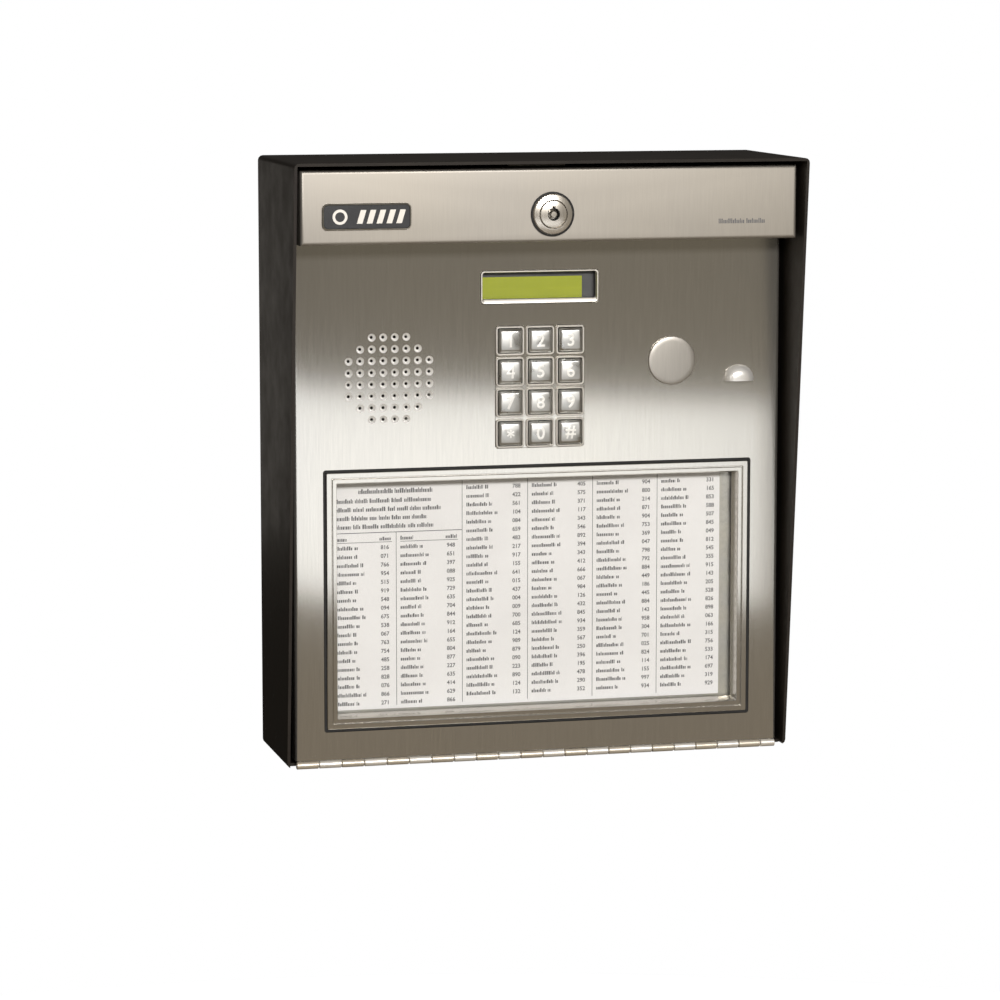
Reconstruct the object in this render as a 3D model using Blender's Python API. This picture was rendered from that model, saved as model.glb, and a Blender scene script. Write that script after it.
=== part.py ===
"""Wall-mounted door intercom: a deep-hooded steel cabinet whose stainless door carries everything.

Metres, +Z up. The origin is the centre of the cabinet's back face, which lies on the wall, and
the front looks along -Y. The door swings forward and down about the piano hinge along its
bottom edge, the keys travel along +Y, and the lock turns about Y. Depths are distances forward
of the wall.
"""

from math import cos, pi, radians, sin

import bmesh
import bpy
from mathutils import Vector

GAP = 0.0003

# Cabinet
WIDTH = 0.282
HEIGHT = 0.327
FOOT = -HEIGHT / 2
DEPTH_TOP = 0.108
DEPTH_BOTTOM = 0.0755
WALL = 0.0016
CORNER_RADIUS = 0.0026
MOUNT_HOLE_RADIUS = 0.0033
MOUNT_HOLE_X = 0.110
MOUNT_HOLE_Z = (FOOT + 0.028, FOOT + 0.300)
WIRE_HOLE_RADIUS = 0.0110
BUSHING_BORE = 0.0080
WIRE_HOLE_Z = FOOT + 0.046

# Door sheet metal
SHEET = 0.0015
FACE_FRONT = 0.0733
FACE_BACK = FACE_FRONT - SHEET
FACE_HALF_WIDTH = 0.136
FACE_BOTTOM = FOOT + 0.0032
FACE_TOP = FOOT + 0.318
FACE_FLANGE_BACK = 0.0630
BEND_RADIUS = 0.0020
HEADER_FRONT = 0.0995
HEADER_HALF_WIDTH = 0.1365
HEADER_BOTTOM = FOOT + 0.2835
HEADER_TOP = FOOT + 0.3229

# Piano hinge
HINGE_Y = -0.0725
HINGE_Z = FOOT + 0.0007
KNUCKLE_RADIUS = 0.0021
LEAF_THICKNESS = 0.0011
PIN_RADIUS = 0.0009
KNUCKLE_PITCH = 0.0125
HINGE_HALF_LENGTH = 0.1356
LEAF_HALF_WIDTH = 0.1340
LEAF_REACH = 0.0122
LEAF_START = KNUCKLE_RADIUS + 0.0004
TANGENT_INSET = 0.00005
KNUCKLE_SIDES = 12
SILL_CLEARANCE = 0.0010

# Lock in the header
LOCK_Z = FOOT + 0.2984
LOCK_BEZEL_RADIUS = 0.0119
LOCK_BODY_RADIUS = 0.0092
LOCK_PLUG_RADIUS = 0.0070
LOCK_TAIL_RADIUS = 0.0040
KEYWAY_RADII = (0.0019, 0.0034)
KEYWAY_DEPTH = 0.0060
LOCK_NUT_RADIUS = 0.0128
LOCK_NUT_THICKNESS = 0.0040
LOCK_BACK = 0.0660
CAM_FRONT = 0.0642
CAM_THICKNESS = 0.0018
CAM_REACH = 0.0210
CAM_HALF_WIDTH = 0.0055
CAM_HUB_RADIUS = 0.0072
CATCH_DROP = 0.0166
CATCH_DEPTH = 0.0190
CATCH_HALF_WIDTH = 0.0160
CATCH_CLEARANCE = 0.0005

# Badge plate, left of the lock
BADGE_X = -0.101
BADGE_Z = FOOT + 0.2985
BADGE_HALF_WIDTH = 0.024
BADGE_HALF_HEIGHT = 0.007

# Display
DISPLAY_Z = FOOT + 0.2577
DISPLAY_HALF_WIDTH = 0.0331
DISPLAY_HALF_HEIGHT = 0.0092
DISPLAY_CORNER = 0.0018
DISPLAY_BEZEL_BACK = 0.0688
DISPLAY_PANE_THICKNESS = 0.0015
DISPLAY_MODULE_THICKNESS = 0.0060

# Keypad: 12.7 mm keys on a 16.8 mm grid
KEY_PITCH = 0.0168
KEY_CENTRE_Z = FOOT + 0.2036
KEY_HALF = 0.00635
KEY_TRAVEL = 0.0015
KEY_FRONT = 0.0757
COLLAR_FRONT = 0.0744
COLLAR_HALF = 0.0080
COLLAR_CORNER = 0.0018
COLLAR_EASE = 0.0005
WELL_HALF = 0.00675
KEY_NAMES = (
    ("key_1", "key_2", "key_3"),
    ("key_4", "key_5", "key_6"),
    ("key_7", "key_8", "key_9"),
    ("key_star", "key_0", "key_hash"),
)
BEZEL_BACK = 0.0700
BEZEL_RIM_BACK = 0.0655

# Speaker behind a pierced octagon of countersunk holes
SPEAKER_X = -0.0835
SPEAKER_Z = FOOT + 0.2100
GRILLE_PITCH = 0.00633
GRILLE_ROWS = (4, 6, 8, 8, 8, 8, 6, 4)
GRILLE_OUTER_RADIUS = 0.00215
GRILLE_HOLE_RADIUS = 0.0010
COUNTERSINK_DEPTH = 0.0010
GRILLE_SIDES = 8
SPEAKER_RADIUS = 0.0285
SPEAKER_FOAM = 0.0020
FOAM_WIDTH = 0.0030
BASKET_RIM_WIDTH = 0.0035
BASKET_RIM_THICKNESS = 0.0012
BASKET_SKIN = 0.0008
BASKET_FLOOR_RADII = (0.0150, 0.0060)
BASKET_FLOOR = 0.0530
BASKET_FLOOR_THICKNESS = 0.0015
CONE_OUTER_RADIUS = 0.0245
CONE_EDGE_WIDTH = 0.0017
CONE_NECK_RADII = (0.0100, 0.0052)
CONE_NECK = 0.0580
MAGNET_RADIUS = 0.0140
MAGNET_BACK = 0.0450
SPEAKER_SIDES = 28

# Accessory blanking disc and microphone hood
PLUG_X = 0.0742
PLUG_Z = FOOT + 0.2160
PLUG_RADIUS = 0.0132
PLUG_STEM_RADIUS = 0.0095
PLUG_NUT_RADIUS = 0.0140
PLUG_NUT_THICKNESS = 0.0045
MIC_X = 0.11265
MIC_Z = FOOT + 0.2042
MIC_HALF_WIDTH = 0.0083
MIC_HEIGHT = 0.0086
MIC_DEPTH = 0.0052
MIC_HOLE_RADIUS = 0.0020
MIC_HOLE_RISE = 0.0025
MIC_SKIN = 0.0009

# Directory window
DIRECTORY_Z = FOOT + 0.0898
DIRECTORY_HALF_WIDTH = 0.1200
DIRECTORY_HALF_HEIGHT = 0.0715
GASKET_WIDTH = 0.0011
GASKET_LIP = 0.0040
GASKET_LIP_THICKNESS = 0.0013
GASKET_RECESS = 0.0002
FRAME_FRONT = 0.0740
FRAME_EASE = 0.0004
FRAME_SKIRT = 0.0012
FRAME_BAND = 0.0029
FRAME_GROOVE_WIDTH = 0.0005
FRAME_GROOVE_DEPTH = 0.0010
FRAME_LIP = 0.0070
FRAME_LIP_THICKNESS = 0.0010
CLIP_HALF_SIZE = (0.0045, 0.0110)
CLIP_CORNER = 0.0015
CLIP_THICKNESS = 0.0012
CLIP_INSET = 0.0050
PANE_FRONT = 0.0660
PANE_THICKNESS = 0.0020
SHEET_THICKNESS = 0.0004
BACK_PLATE_THICKNESS = 0.0010

# Electronics in the cabinet
BOARD_Z = FOOT + 0.170
BOARD_HALF_WIDTH = 0.095
BOARD_HALF_HEIGHT = 0.075
BOARD_BACK = 0.0120
BOARD_THICKNESS = 0.0016
BOARD_CORNER = 0.0030
SPACER_RADIUS = 0.0032
SPACER_INSET = 0.0060
TERMINAL_X = 0.0460
TERMINAL_RISE = 0.0120
TERMINAL_HALF_LENGTH = 0.0360
TERMINAL_HALF_HEIGHTS = (0.0055, 0.0035)
TERMINAL_HEIGHTS = (0.0060, 0.0100)
BOARD_BLOCKS = (
    ("relay_left", (-0.060, 0.038), (0.0095, 0.0078), 0.0155, "relay"),
    ("relay_right", (-0.030, 0.038), (0.0095, 0.0078), 0.0155, "relay"),
    ("line_transformer", (0.058, 0.034), (0.0140, 0.0120), 0.0190, "ferrite"),
    ("ribbon_socket", (0.012, -0.002), (0.0160, 0.0045), 0.0088, "plastic"),
)

DOOR_PIVOT = Vector((0, HINGE_Y, HINGE_Z))
LOCK_PIVOT = Vector((0, -HEADER_FRONT, LOCK_Z))
SMOOTH_ANGLE = radians(32)


def clear_scene():
    for obj in list(bpy.data.objects):
        bpy.data.objects.remove(obj, do_unlink=True)


def material(name, colour, roughness, metallic=0.0, alpha=1.0):
    made = bpy.data.materials.get(name) or bpy.data.materials.new(name)
    made.use_nodes = True
    shader = made.node_tree.nodes["Principled BSDF"]
    shader.inputs["Base Color"].default_value = (*colour, 1.0)
    shader.inputs["Roughness"].default_value = roughness
    shader.inputs["Metallic"].default_value = metallic
    shader.inputs["Alpha"].default_value = alpha
    made.diffuse_color = (*colour, alpha)
    return made


def pivot(name, place):
    empty = bpy.data.objects.new(name, None)
    empty.location = place
    bpy.context.scene.collection.objects.link(empty)
    return empty


def add_object(name, bm, look=None, parent=None, origin=None):
    """Makes an object of a bmesh drawn in world coordinates, with its origin where asked."""
    base = Vector(parent.location) if parent else Vector((0, 0, 0))
    origin = Vector(origin) if origin is not None else base
    bmesh.ops.recalc_face_normals(bm, faces=bm.faces)
    bmesh.ops.translate(bm, verts=bm.verts, vec=-origin)
    mesh = bpy.data.meshes.new(name)
    bm.to_mesh(mesh)
    bm.free()
    mesh.shade_smooth()
    mesh.set_sharp_from_angle(angle=SMOOTH_ANGLE)
    obj = bpy.data.objects.new(name, mesh)
    obj.location = origin - base
    obj.parent = parent
    if look:
        mesh.materials.append(look)
    bpy.context.scene.collection.objects.link(obj)
    return obj


def combine(obj, name, bm, operation="DIFFERENCE"):
    """Cuts a helper shape from the object, or joins it on."""
    helper = add_object(f"{obj.name}_{name}", bm)
    helper.hide_render = True
    helper.display_type = "WIRE"
    modifier = obj.modifiers.new(name, "BOOLEAN")
    modifier.operation = operation
    modifier.solver = "EXACT"
    modifier.object = helper


def circle(x, z, radius, sides=24, start=0.0):
    steps = [start + 2 * pi * i / sides for i in range(sides)]
    return [(x + radius * cos(a), z + radius * sin(a)) for a in steps]


def rounded_rect(x, z, half_width, half_height, radius=0.0, steps=3):
    """Outline of a rectangle whose corners are arcs of so many steps."""
    if radius <= 0:
        return [
            (x + half_width, z + half_height),
            (x - half_width, z + half_height),
            (x - half_width, z - half_height),
            (x + half_width, z - half_height),
        ]
    points = []
    for quarter, (sx, sz) in enumerate(((1, 1), (-1, 1), (-1, -1), (1, -1))):
        cx = x + sx * (half_width - radius)
        cz = z + sz * (half_height - radius)
        for i in range(steps + 1):
            a = (quarter + i / steps) * pi / 2
            points.append((cx + radius * cos(a), cz + radius * sin(a)))
    return points


def loop(bm, outline, depth):
    """A ring of vertices in a plane parallel to the wall, this far in front of it."""
    return [bm.verts.new((x, -depth, z)) for x, z in outline]


def bridge(bm, first, second):
    count = len(first)
    for i in range(count):
        j = (i + 1) % count
        bm.faces.new((first[i], first[j], second[j], second[i]))


def stack(bm, *levels):
    """Closed solid through outlines of equal count, each given with its depth, capped at both ends."""
    loops = [loop(bm, outline, depth) for outline, depth in levels]
    for first, second in zip(loops, loops[1:]):
        bridge(bm, first, second)
    bm.faces.new(loops[0])
    bm.faces.new(loops[-1])
    return bm


def ring(bm, *levels):
    """Closed ring: the outlines follow one another round its cross-section, back to the first."""
    loops = [loop(bm, outline, depth) for outline, depth in levels]
    for first, second in zip(loops, loops[1:] + loops[:1]):
        bridge(bm, first, second)
    return bm


def prism_x(bm, outline, x):
    """Prism along X of a (y, z) outline between two limits."""
    ends = [[bm.verts.new((i, y, z)) for y, z in outline] for i in x]
    bridge(bm, ends[0], ends[1])
    bm.faces.new(ends[0])
    bm.faces.new(ends[1])
    return bm


def box(bm, x, y, z):
    """Box from its limits along each axis."""
    return prism_x(bm, [(y[0], z[0]), (y[1], z[0]), (y[1], z[1]), (y[0], z[1])], x)


def bevel_where(bm, chosen, width, segments):
    edges = [e for e in bm.edges if chosen(e)]
    bmesh.ops.bevel(bm, geom=edges, offset=width, segments=segments, profile=0.5, affect="EDGES")


def disc(x, z, radius, front, back, sides=24, start=0.0):
    outline = circle(x, z, radius, sides, start)
    return stack(bmesh.new(), (outline, front), (outline, back))


def tube(x, z, outer, inner, front, back, sides=24):
    rim, bore = circle(x, z, outer, sides), circle(x, z, inner, sides)
    return ring(bmesh.new(), (rim, front), (rim, back), (bore, back), (bore, front))


def looks():
    return {
        "powder_coat": material("powder_coat_brown_black", (0.016, 0.013, 0.011), 0.46),
        "brushed": material("brushed_stainless", (0.56, 0.53, 0.48), 0.30, 1.0),
        "polished": material("chrome", (0.80, 0.79, 0.77), 0.10, 1.0),
        "hinge_steel": material("hinge_stainless", (0.66, 0.63, 0.58), 0.22, 1.0),
        "zinc": material("zinc_plated", (0.55, 0.54, 0.50), 0.40, 1.0),
        "badge": material("badge_dark", (0.030, 0.031, 0.034), 0.35),
        "glass": material("clear_pane", (0.90, 0.92, 0.90), 0.04, 0.0, 0.3),
        "lcd": material("display_green", (0.36, 0.42, 0.04), 0.25),
        "rubber": material("black_rubber", (0.012, 0.012, 0.012), 0.75),
        "mat": material("grey_silicone", (0.25, 0.25, 0.26), 0.65),
        "board": material("circuit_board", (0.012, 0.10, 0.035), 0.45),
        "plastic": material("black_plastic", (0.018, 0.018, 0.020), 0.50),
        "terminal": material("terminal_green", (0.03, 0.22, 0.07), 0.45),
        "relay": material("relay_blue", (0.03, 0.09, 0.25), 0.45),
        "brass": material("brass", (0.62, 0.47, 0.20), 0.30, 1.0),
        "ferrite": material("speaker_magnet", (0.05, 0.05, 0.05), 0.60),
        "cone": material("speaker_cone", (0.020, 0.019, 0.018), 0.85),
        "paper": material("paper", (0.80, 0.79, 0.76), 0.85),
    }


# ---- Cabinet ----


def cabinet_outline(inset, forward=0.0):
    """Side profile: deep hood at the top, shallow at the foot, with the front edge sloping between."""
    return [
        (-inset, FOOT + inset),
        (-inset, FOOT + HEIGHT - inset),
        (-DEPTH_TOP - forward, FOOT + HEIGHT - inset),
        (-DEPTH_BOTTOM - forward, FOOT + inset),
    ]


def cabinet_shell(look):
    """Welded sheet box, open in front, with mounting holes and a wire entry in its back."""
    half = WIDTH / 2
    bm = prism_x(bmesh.new(), cabinet_outline(0.0), (-half, half))
    bevel_where(bm, folded_edge, CORNER_RADIUS, 3)
    shell = add_object("cabinet_shell", bm, look)
    inner = half - WALL
    combine(shell, "hollow", prism_x(bmesh.new(), cabinet_outline(WALL, 0.03), (-inner, inner)))
    sill = HINGE_Y + KNUCKLE_RADIUS + SILL_CLEARANCE
    floor = (FOOT - WALL, FOOT + 2 * WALL)
    combine(shell, "sill", box(bmesh.new(), (-inner, inner), (-DEPTH_TOP, sill), floor))
    holes = bmesh.new()
    places = [(x, z) for z in MOUNT_HOLE_Z for x in (-MOUNT_HOLE_X, MOUNT_HOLE_X)]
    outlines = [circle(x, z, MOUNT_HOLE_RADIUS, 12) for x, z in places]
    outlines.append(circle(0, WIRE_HOLE_Z, WIRE_HOLE_RADIUS, 20))
    for outline in outlines:
        stack(holes, (outline, -WALL), (outline, 2 * WALL))
    combine(shell, "back_holes", holes)


def folded_edge(edge):
    """True for the edges round the back and those that run forward from it."""
    return any(v.co.y > -GAP for v in edge.verts)


def lock_catch(look):
    """Angle bracket under the hood: its lip hangs in front of the raised cam."""
    roof = FOOT + HEIGHT - WALL - GAP
    lip_foot = roof - CATCH_DROP
    lip_back = -(CAM_FRONT + CATCH_CLEARANCE)
    lip_front = lip_back - SHEET
    root = lip_back + CATCH_DEPTH
    outline = [
        (lip_front, roof),
        (lip_front, lip_foot),
        (lip_back, lip_foot),
        (lip_back, roof - SHEET),
        (root, roof - SHEET),
        (root, roof),
    ]
    add_object("lock_catch", prism_x(bmesh.new(), outline, (-CATCH_HALF_WIDTH, CATCH_HALF_WIDTH)), look)


def wire_bushing(look):
    """Snap-in bush that lines the wire entry in the back."""
    bore, neck, rim = BUSHING_BORE, WIRE_HOLE_RADIUS - GAP, WIRE_HOLE_RADIUS + 0.0020
    front, seat = WALL + 0.0020, WALL + GAP
    levels = [(rim, front), (rim, seat), (neck, seat), (neck, GAP), (bore, GAP), (bore, front)]
    bm = ring(bmesh.new(), *((circle(0, WIRE_HOLE_Z, r, 20), d) for r, d in levels))
    add_object("wire_bushing", bm, look)


def spacer_places():
    for side_z in (-1, 1):
        for side_x in (-1, 1):
            x = side_x * (BOARD_HALF_WIDTH - SPACER_INSET)
            yield x, BOARD_Z + side_z * (BOARD_HALF_HEIGHT - SPACER_INSET)


def electronics(look):
    """Main board on four spacers, with two rows of terminals, relays, a transformer and a socket."""
    outline = rounded_rect(0, BOARD_Z, BOARD_HALF_WIDTH, BOARD_HALF_HEIGHT, BOARD_CORNER, 2)
    front = BOARD_BACK + BOARD_THICKNESS
    add_object("main_board", stack(bmesh.new(), (outline, BOARD_BACK), (outline, front)), look["board"])
    for number, (x, z) in enumerate(spacer_places(), 1):
        spacer = disc(x, z, SPACER_RADIUS, WALL + GAP, BOARD_BACK - GAP, 6)
        add_object(f"board_spacer_{number}", spacer, look["brass"])
    z = BOARD_Z - BOARD_HALF_HEIGHT + TERMINAL_RISE
    for name, x in (("terminal_row_left", -TERMINAL_X), ("terminal_row_right", TERMINAL_X)):
        base, ledge = [rounded_rect(x, z, TERMINAL_HALF_LENGTH, half) for half in TERMINAL_HALF_HEIGHTS]
        low, high = [front + rise for rise in TERMINAL_HEIGHTS]
        row = stack(bmesh.new(), (base, front + GAP), (base, low), (ledge, high))
        add_object(name, row, look["terminal"])
    for name, (x, rise), half_size, height, finish in BOARD_BLOCKS:
        outline = rounded_rect(x, BOARD_Z + rise, *half_size)
        bm = stack(bmesh.new(), (outline, front + GAP), (outline, front + height))
        add_object(name, bm, look[finish])


# ---- Piano hinge ----


def knuckle_spans():
    """Limits along X of each knuckle, from the left. The last is the short end of the stock."""
    spans = []
    left = -HINGE_HALF_LENGTH
    while left < HINGE_HALF_LENGTH - GAP:
        right = min(left + KNUCKLE_PITCH, HINGE_HALF_LENGTH)
        spans.append((left + GAP / 2, right - GAP / 2))
        left += KNUCKLE_PITCH
    return spans


def cylinder_x(bm, radius, x, sides):
    outline = circle(HINGE_Y, HINGE_Z, radius, sides, pi / sides)
    return prism_x(bm, outline, x)


def hinge_leaf(name, own, look, parent, upright):
    """Leaf with every other knuckle. An upright leaf rises behind the door, a flat one runs back."""
    outer = KNUCKLE_RADIUS - TANGENT_INSET
    inner = outer - LEAF_THICKNESS
    if upright:
        plate = ((HINGE_Y + inner, HINGE_Y + outer), (HINGE_Z, HINGE_Z + LEAF_REACH))
    else:
        plate = ((HINGE_Y, HINGE_Y + LEAF_REACH + 0.004), (HINGE_Z - outer, HINGE_Z - inner))
    leaf = add_object(name, box(bmesh.new(), (-LEAF_HALF_WIDTH, LEAF_HALF_WIDTH), *plate), look, parent)
    notches, knuckles = bmesh.new(), bmesh.new()
    y, z = [(centre - LEAF_START, centre + LEAF_START) for centre in (HINGE_Y, HINGE_Z)]
    for number, (left, right) in enumerate(knuckle_spans()):
        if number % 2 == own:
            cylinder_x(knuckles, KNUCKLE_RADIUS, (left, right), KNUCKLE_SIDES)
        else:
            box(notches, (left - GAP, right + GAP), y, z)
    combine(leaf, "notches", notches)
    combine(leaf, "knuckles", knuckles, "UNION")
    ends = (-HINGE_HALF_LENGTH - 0.001, HINGE_HALF_LENGTH + 0.001)
    combine(leaf, "bore", cylinder_x(bmesh.new(), PIN_RADIUS + GAP, ends, 8))


def hinge_pin(look):
    ends = (-HINGE_HALF_LENGTH + GAP, HINGE_HALF_LENGTH - GAP)
    add_object("hinge_pin", cylinder_x(bmesh.new(), PIN_RADIUS, ends, 8), look)


# ---- Door sheet metal ----


def front_edge(edge, depth):
    return all(v.co.y < -depth for v in edge.verts)


def upright(edge):
    return abs(edge.verts[0].co.z - edge.verts[1].co.z) > SHEET


def grille_holes():
    """Centres of the pierced holes, row by row."""
    middle = (len(GRILLE_ROWS) - 1) / 2
    for row, count in enumerate(GRILLE_ROWS):
        z = SPEAKER_Z + (middle - row) * GRILLE_PITCH
        for i in range(count):
            yield SPEAKER_X + (i - (count - 1) / 2) * GRILLE_PITCH, z


def faceplate(look, parent):
    """Recessed door sheet with its side edges folded back."""
    half = FACE_HALF_WIDTH
    bm = box(bmesh.new(), (-half, half), (-FACE_FRONT, -FACE_FLANGE_BACK), (FACE_BOTTOM, FACE_TOP))
    bevel_where(bm, lambda e: front_edge(e, FACE_BACK) and upright(e), BEND_RADIUS, 3)
    plate = add_object("faceplate", bm, look, parent)
    inner = half - SHEET
    combine(plate, "fold", box(bmesh.new(), (-inner, inner), (-FACE_BACK, 0), (FOOT, -FOOT)))
    cuts = bmesh.new()
    through = (FACE_FRONT + 0.002, FACE_BACK - 0.002)
    outlines = [
        rounded_rect(0, DIRECTORY_Z, DIRECTORY_HALF_WIDTH, DIRECTORY_HALF_HEIGHT),
        rounded_rect(0, DISPLAY_Z, DISPLAY_HALF_WIDTH, DISPLAY_HALF_HEIGHT, DISPLAY_CORNER),
        rounded_rect(0, KEY_CENTRE_Z, *keypad_half_size(), COLLAR_CORNER),
        circle(PLUG_X, PLUG_Z, PLUG_STEM_RADIUS + GAP),
        circle(MIC_X, MIC_Z + MIC_HOLE_RISE, MIC_HOLE_RADIUS, 10),
        circle(0, LOCK_Z, LOCK_BODY_RADIUS + 0.0030),
    ]
    for outline in outlines:
        stack(cuts, (outline, through[0]), (outline, through[1]))
    combine(plate, "openings", cuts)
    grille = bmesh.new()
    flare = GRILLE_OUTER_RADIUS - GRILLE_HOLE_RADIUS
    for x, z in grille_holes():
        mouth = circle(x, z, GRILLE_OUTER_RADIUS + flare, GRILLE_SIDES)
        bore = circle(x, z, GRILLE_HOLE_RADIUS, GRILLE_SIDES)
        neck = FACE_FRONT - COUNTERSINK_DEPTH
        stack(grille, (mouth, FACE_FRONT + COUNTERSINK_DEPTH), (bore, neck), (bore, through[1]))
    combine(plate, "grille", grille)


def header_strip(look, parent):
    """Shallow pan in front of the faceplate's top: five folded sides, open at the back."""
    half, back = HEADER_HALF_WIDTH, FACE_FRONT + GAP
    bm = box(bmesh.new(), (-half, half), (-HEADER_FRONT, -back), (HEADER_BOTTOM, HEADER_TOP))
    bevel_where(bm, lambda e: front_edge(e, HEADER_FRONT - SHEET), BEND_RADIUS, 3)
    strip = add_object("header_strip", bm, look, parent)
    x = half - SHEET
    z = (HEADER_BOTTOM + SHEET, HEADER_TOP - SHEET)
    combine(strip, "hollow", box(bmesh.new(), (-x, x), (-HEADER_FRONT + SHEET, 0), z))
    hole = disc(0, LOCK_Z, LOCK_BODY_RADIUS + GAP, HEADER_FRONT + 0.002, HEADER_FRONT - 0.004, 24)
    combine(strip, "lock_hole", hole)


def badge_plate(look, parent):
    """Blank name plate with rounded ends and a bevelled rim."""
    front = HEADER_FRONT + 0.0012
    base = rounded_rect(BADGE_X, BADGE_Z, BADGE_HALF_WIDTH, BADGE_HALF_HEIGHT, 0.0030, 4)
    face = rounded_rect(BADGE_X, BADGE_Z, BADGE_HALF_WIDTH - 0.0005, BADGE_HALF_HEIGHT - 0.0005, 0.0025, 4)
    bm = stack(bmesh.new(), (base, HEADER_FRONT + GAP), (base, front - 0.0004), (face, front))
    add_object("badge_plate", bm, look, parent)


# ---- Lock ----


def lock_parts(look, parent, lock_pivot):
    """Cam lock: housing with a domed bezel, clamp nut, and the turning plug with its cam."""
    bore = LOCK_PLUG_RADIUS + GAP
    levels = [
        (LOCK_BEZEL_RADIUS, HEADER_FRONT + GAP),
        (LOCK_BEZEL_RADIUS, HEADER_FRONT + 0.0012),
        (LOCK_BEZEL_RADIUS - 0.0008, HEADER_FRONT + 0.0023),
        (LOCK_BEZEL_RADIUS - 0.0026, HEADER_FRONT + 0.0032),
        (bore + 0.0012, HEADER_FRONT + 0.0034),
        (bore, HEADER_FRONT + 0.0028),
        (bore, LOCK_BACK),
        (LOCK_BODY_RADIUS, LOCK_BACK),
        (LOCK_BODY_RADIUS, HEADER_FRONT + GAP),
    ]
    bm = ring(bmesh.new(), *((circle(0, LOCK_Z, r, 24), d) for r, d in levels))
    add_object("lock_housing", bm, look["polished"], parent)
    nut_front = HEADER_FRONT - SHEET - GAP
    nut_back = nut_front - LOCK_NUT_THICKNESS
    bm = disc(0, LOCK_Z, LOCK_NUT_RADIUS, nut_front, nut_back, 6)
    nut = add_object("lock_nut", bm, look["zinc"], parent)
    combine(nut, "thread", disc(0, LOCK_Z, LOCK_BODY_RADIUS + GAP, nut_front + 0.001, nut_back - 0.001))
    lock_plug(look["polished"], lock_pivot)
    lock_cam(look["zinc"], lock_pivot)


def lock_plug(look, parent):
    """Turning core with a ring-shaped keyway, notched at the top."""
    front = HEADER_FRONT + 0.0026
    levels = [
        (LOCK_PLUG_RADIUS - 0.0005, front),
        (LOCK_PLUG_RADIUS, front - 0.0005),
        (LOCK_PLUG_RADIUS, LOCK_BACK - GAP),
        (LOCK_TAIL_RADIUS, LOCK_BACK - GAP),
        (LOCK_TAIL_RADIUS, CAM_FRONT - CAM_THICKNESS + GAP),
    ]
    bm = stack(bmesh.new(), *((circle(0, LOCK_Z, r), d) for r, d in levels))
    plug = add_object("lock_plug", bm, look, parent)
    post, groove = KEYWAY_RADII
    combine(plug, "keyway", tube(0, LOCK_Z, groove, post, front + 0.001, front - KEYWAY_DEPTH, 20))
    y, z = (-front - 0.001, -front + KEYWAY_DEPTH), (LOCK_Z + post + GAP, LOCK_Z + groove + 0.0010)
    combine(plug, "notch", box(bmesh.new(), (-0.0008, 0.0008), y, z))


def lock_cam(look, parent):
    """Cam that lies sideways when released, and the screw that holds it to the core's tail."""
    end = circle(CAM_REACH - CAM_HALF_WIDTH, LOCK_Z, CAM_HALF_WIDTH, 16, -pi / 2)[:9]
    hub = circle(0, LOCK_Z, CAM_HUB_RADIUS, 16, pi / 2)[:9]
    outline = end + hub
    back = CAM_FRONT - CAM_THICKNESS
    cam = add_object("lock_cam", stack(bmesh.new(), (outline, CAM_FRONT), (outline, back)), look, parent)
    combine(cam, "centre_hole", disc(0, LOCK_Z, LOCK_TAIL_RADIUS + GAP, CAM_FRONT + 0.001, back - 0.001))
    head = back - GAP
    levels = [(0.0058, head), (0.0058, head - 0.0016), (0.0042, head - 0.0026)]
    bm = stack(bmesh.new(), *((circle(0, LOCK_Z, r, 16), d) for r, d in levels))
    add_object("cam_screw", bm, look, parent)


# ---- Display ----


def display_rect(inset, corner=DISPLAY_CORNER):
    w, h = DISPLAY_HALF_WIDTH - inset, DISPLAY_HALF_HEIGHT - inset
    return rounded_rect(0, DISPLAY_Z, w, h, corner)


def display_parts(look, parent):
    """Bezel whose inner walls slope back to a clear pane, with the module and its board behind."""
    levels = [
        (GAP, FACE_FRONT + 0.0003),
        (GAP, FACE_BACK - GAP),
        (-0.0030, FACE_BACK - GAP),
        (-0.0030, DISPLAY_BEZEL_BACK),
        (0.0022, DISPLAY_BEZEL_BACK),
        (0.0008, FACE_FRONT + 0.0003),
    ]
    bm = ring(bmesh.new(), *((display_rect(i), d) for i, d in levels))
    add_object("display_bezel", bm, look["brushed"], parent)
    pane = display_rect(-0.0020)
    front = DISPLAY_BEZEL_BACK - GAP
    bm = stack(bmesh.new(), (pane, front), (pane, front - DISPLAY_PANE_THICKNESS))
    add_object("display_window", bm, look["glass"], parent)
    front -= DISPLAY_PANE_THICKNESS + GAP
    back = front - DISPLAY_MODULE_THICKNESS
    bm = box(bmesh.new(), (-0.040, 0.040), (-front, -back), (DISPLAY_Z - 0.0135, DISPLAY_Z + 0.0135))
    add_object("display_module", bm, look["lcd"], parent)
    outline = rounded_rect(0, DISPLAY_Z, 0.0420, 0.0170)
    front = back - GAP
    bm = stack(bmesh.new(), (outline, front), (outline, front - BOARD_THICKNESS))
    add_object("display_board", bm, look["board"], parent)


# ---- Keypad ----


def keypad_half_size():
    return KEY_PITCH + COLLAR_HALF + 0.0002, 1.5 * KEY_PITCH + COLLAR_HALF + 0.0002


def key_places():
    for row, names in enumerate(KEY_NAMES):
        for column, name in enumerate(names):
            yield name, (column - 1) * KEY_PITCH, KEY_CENTRE_Z + (1.5 - row) * KEY_PITCH


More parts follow.
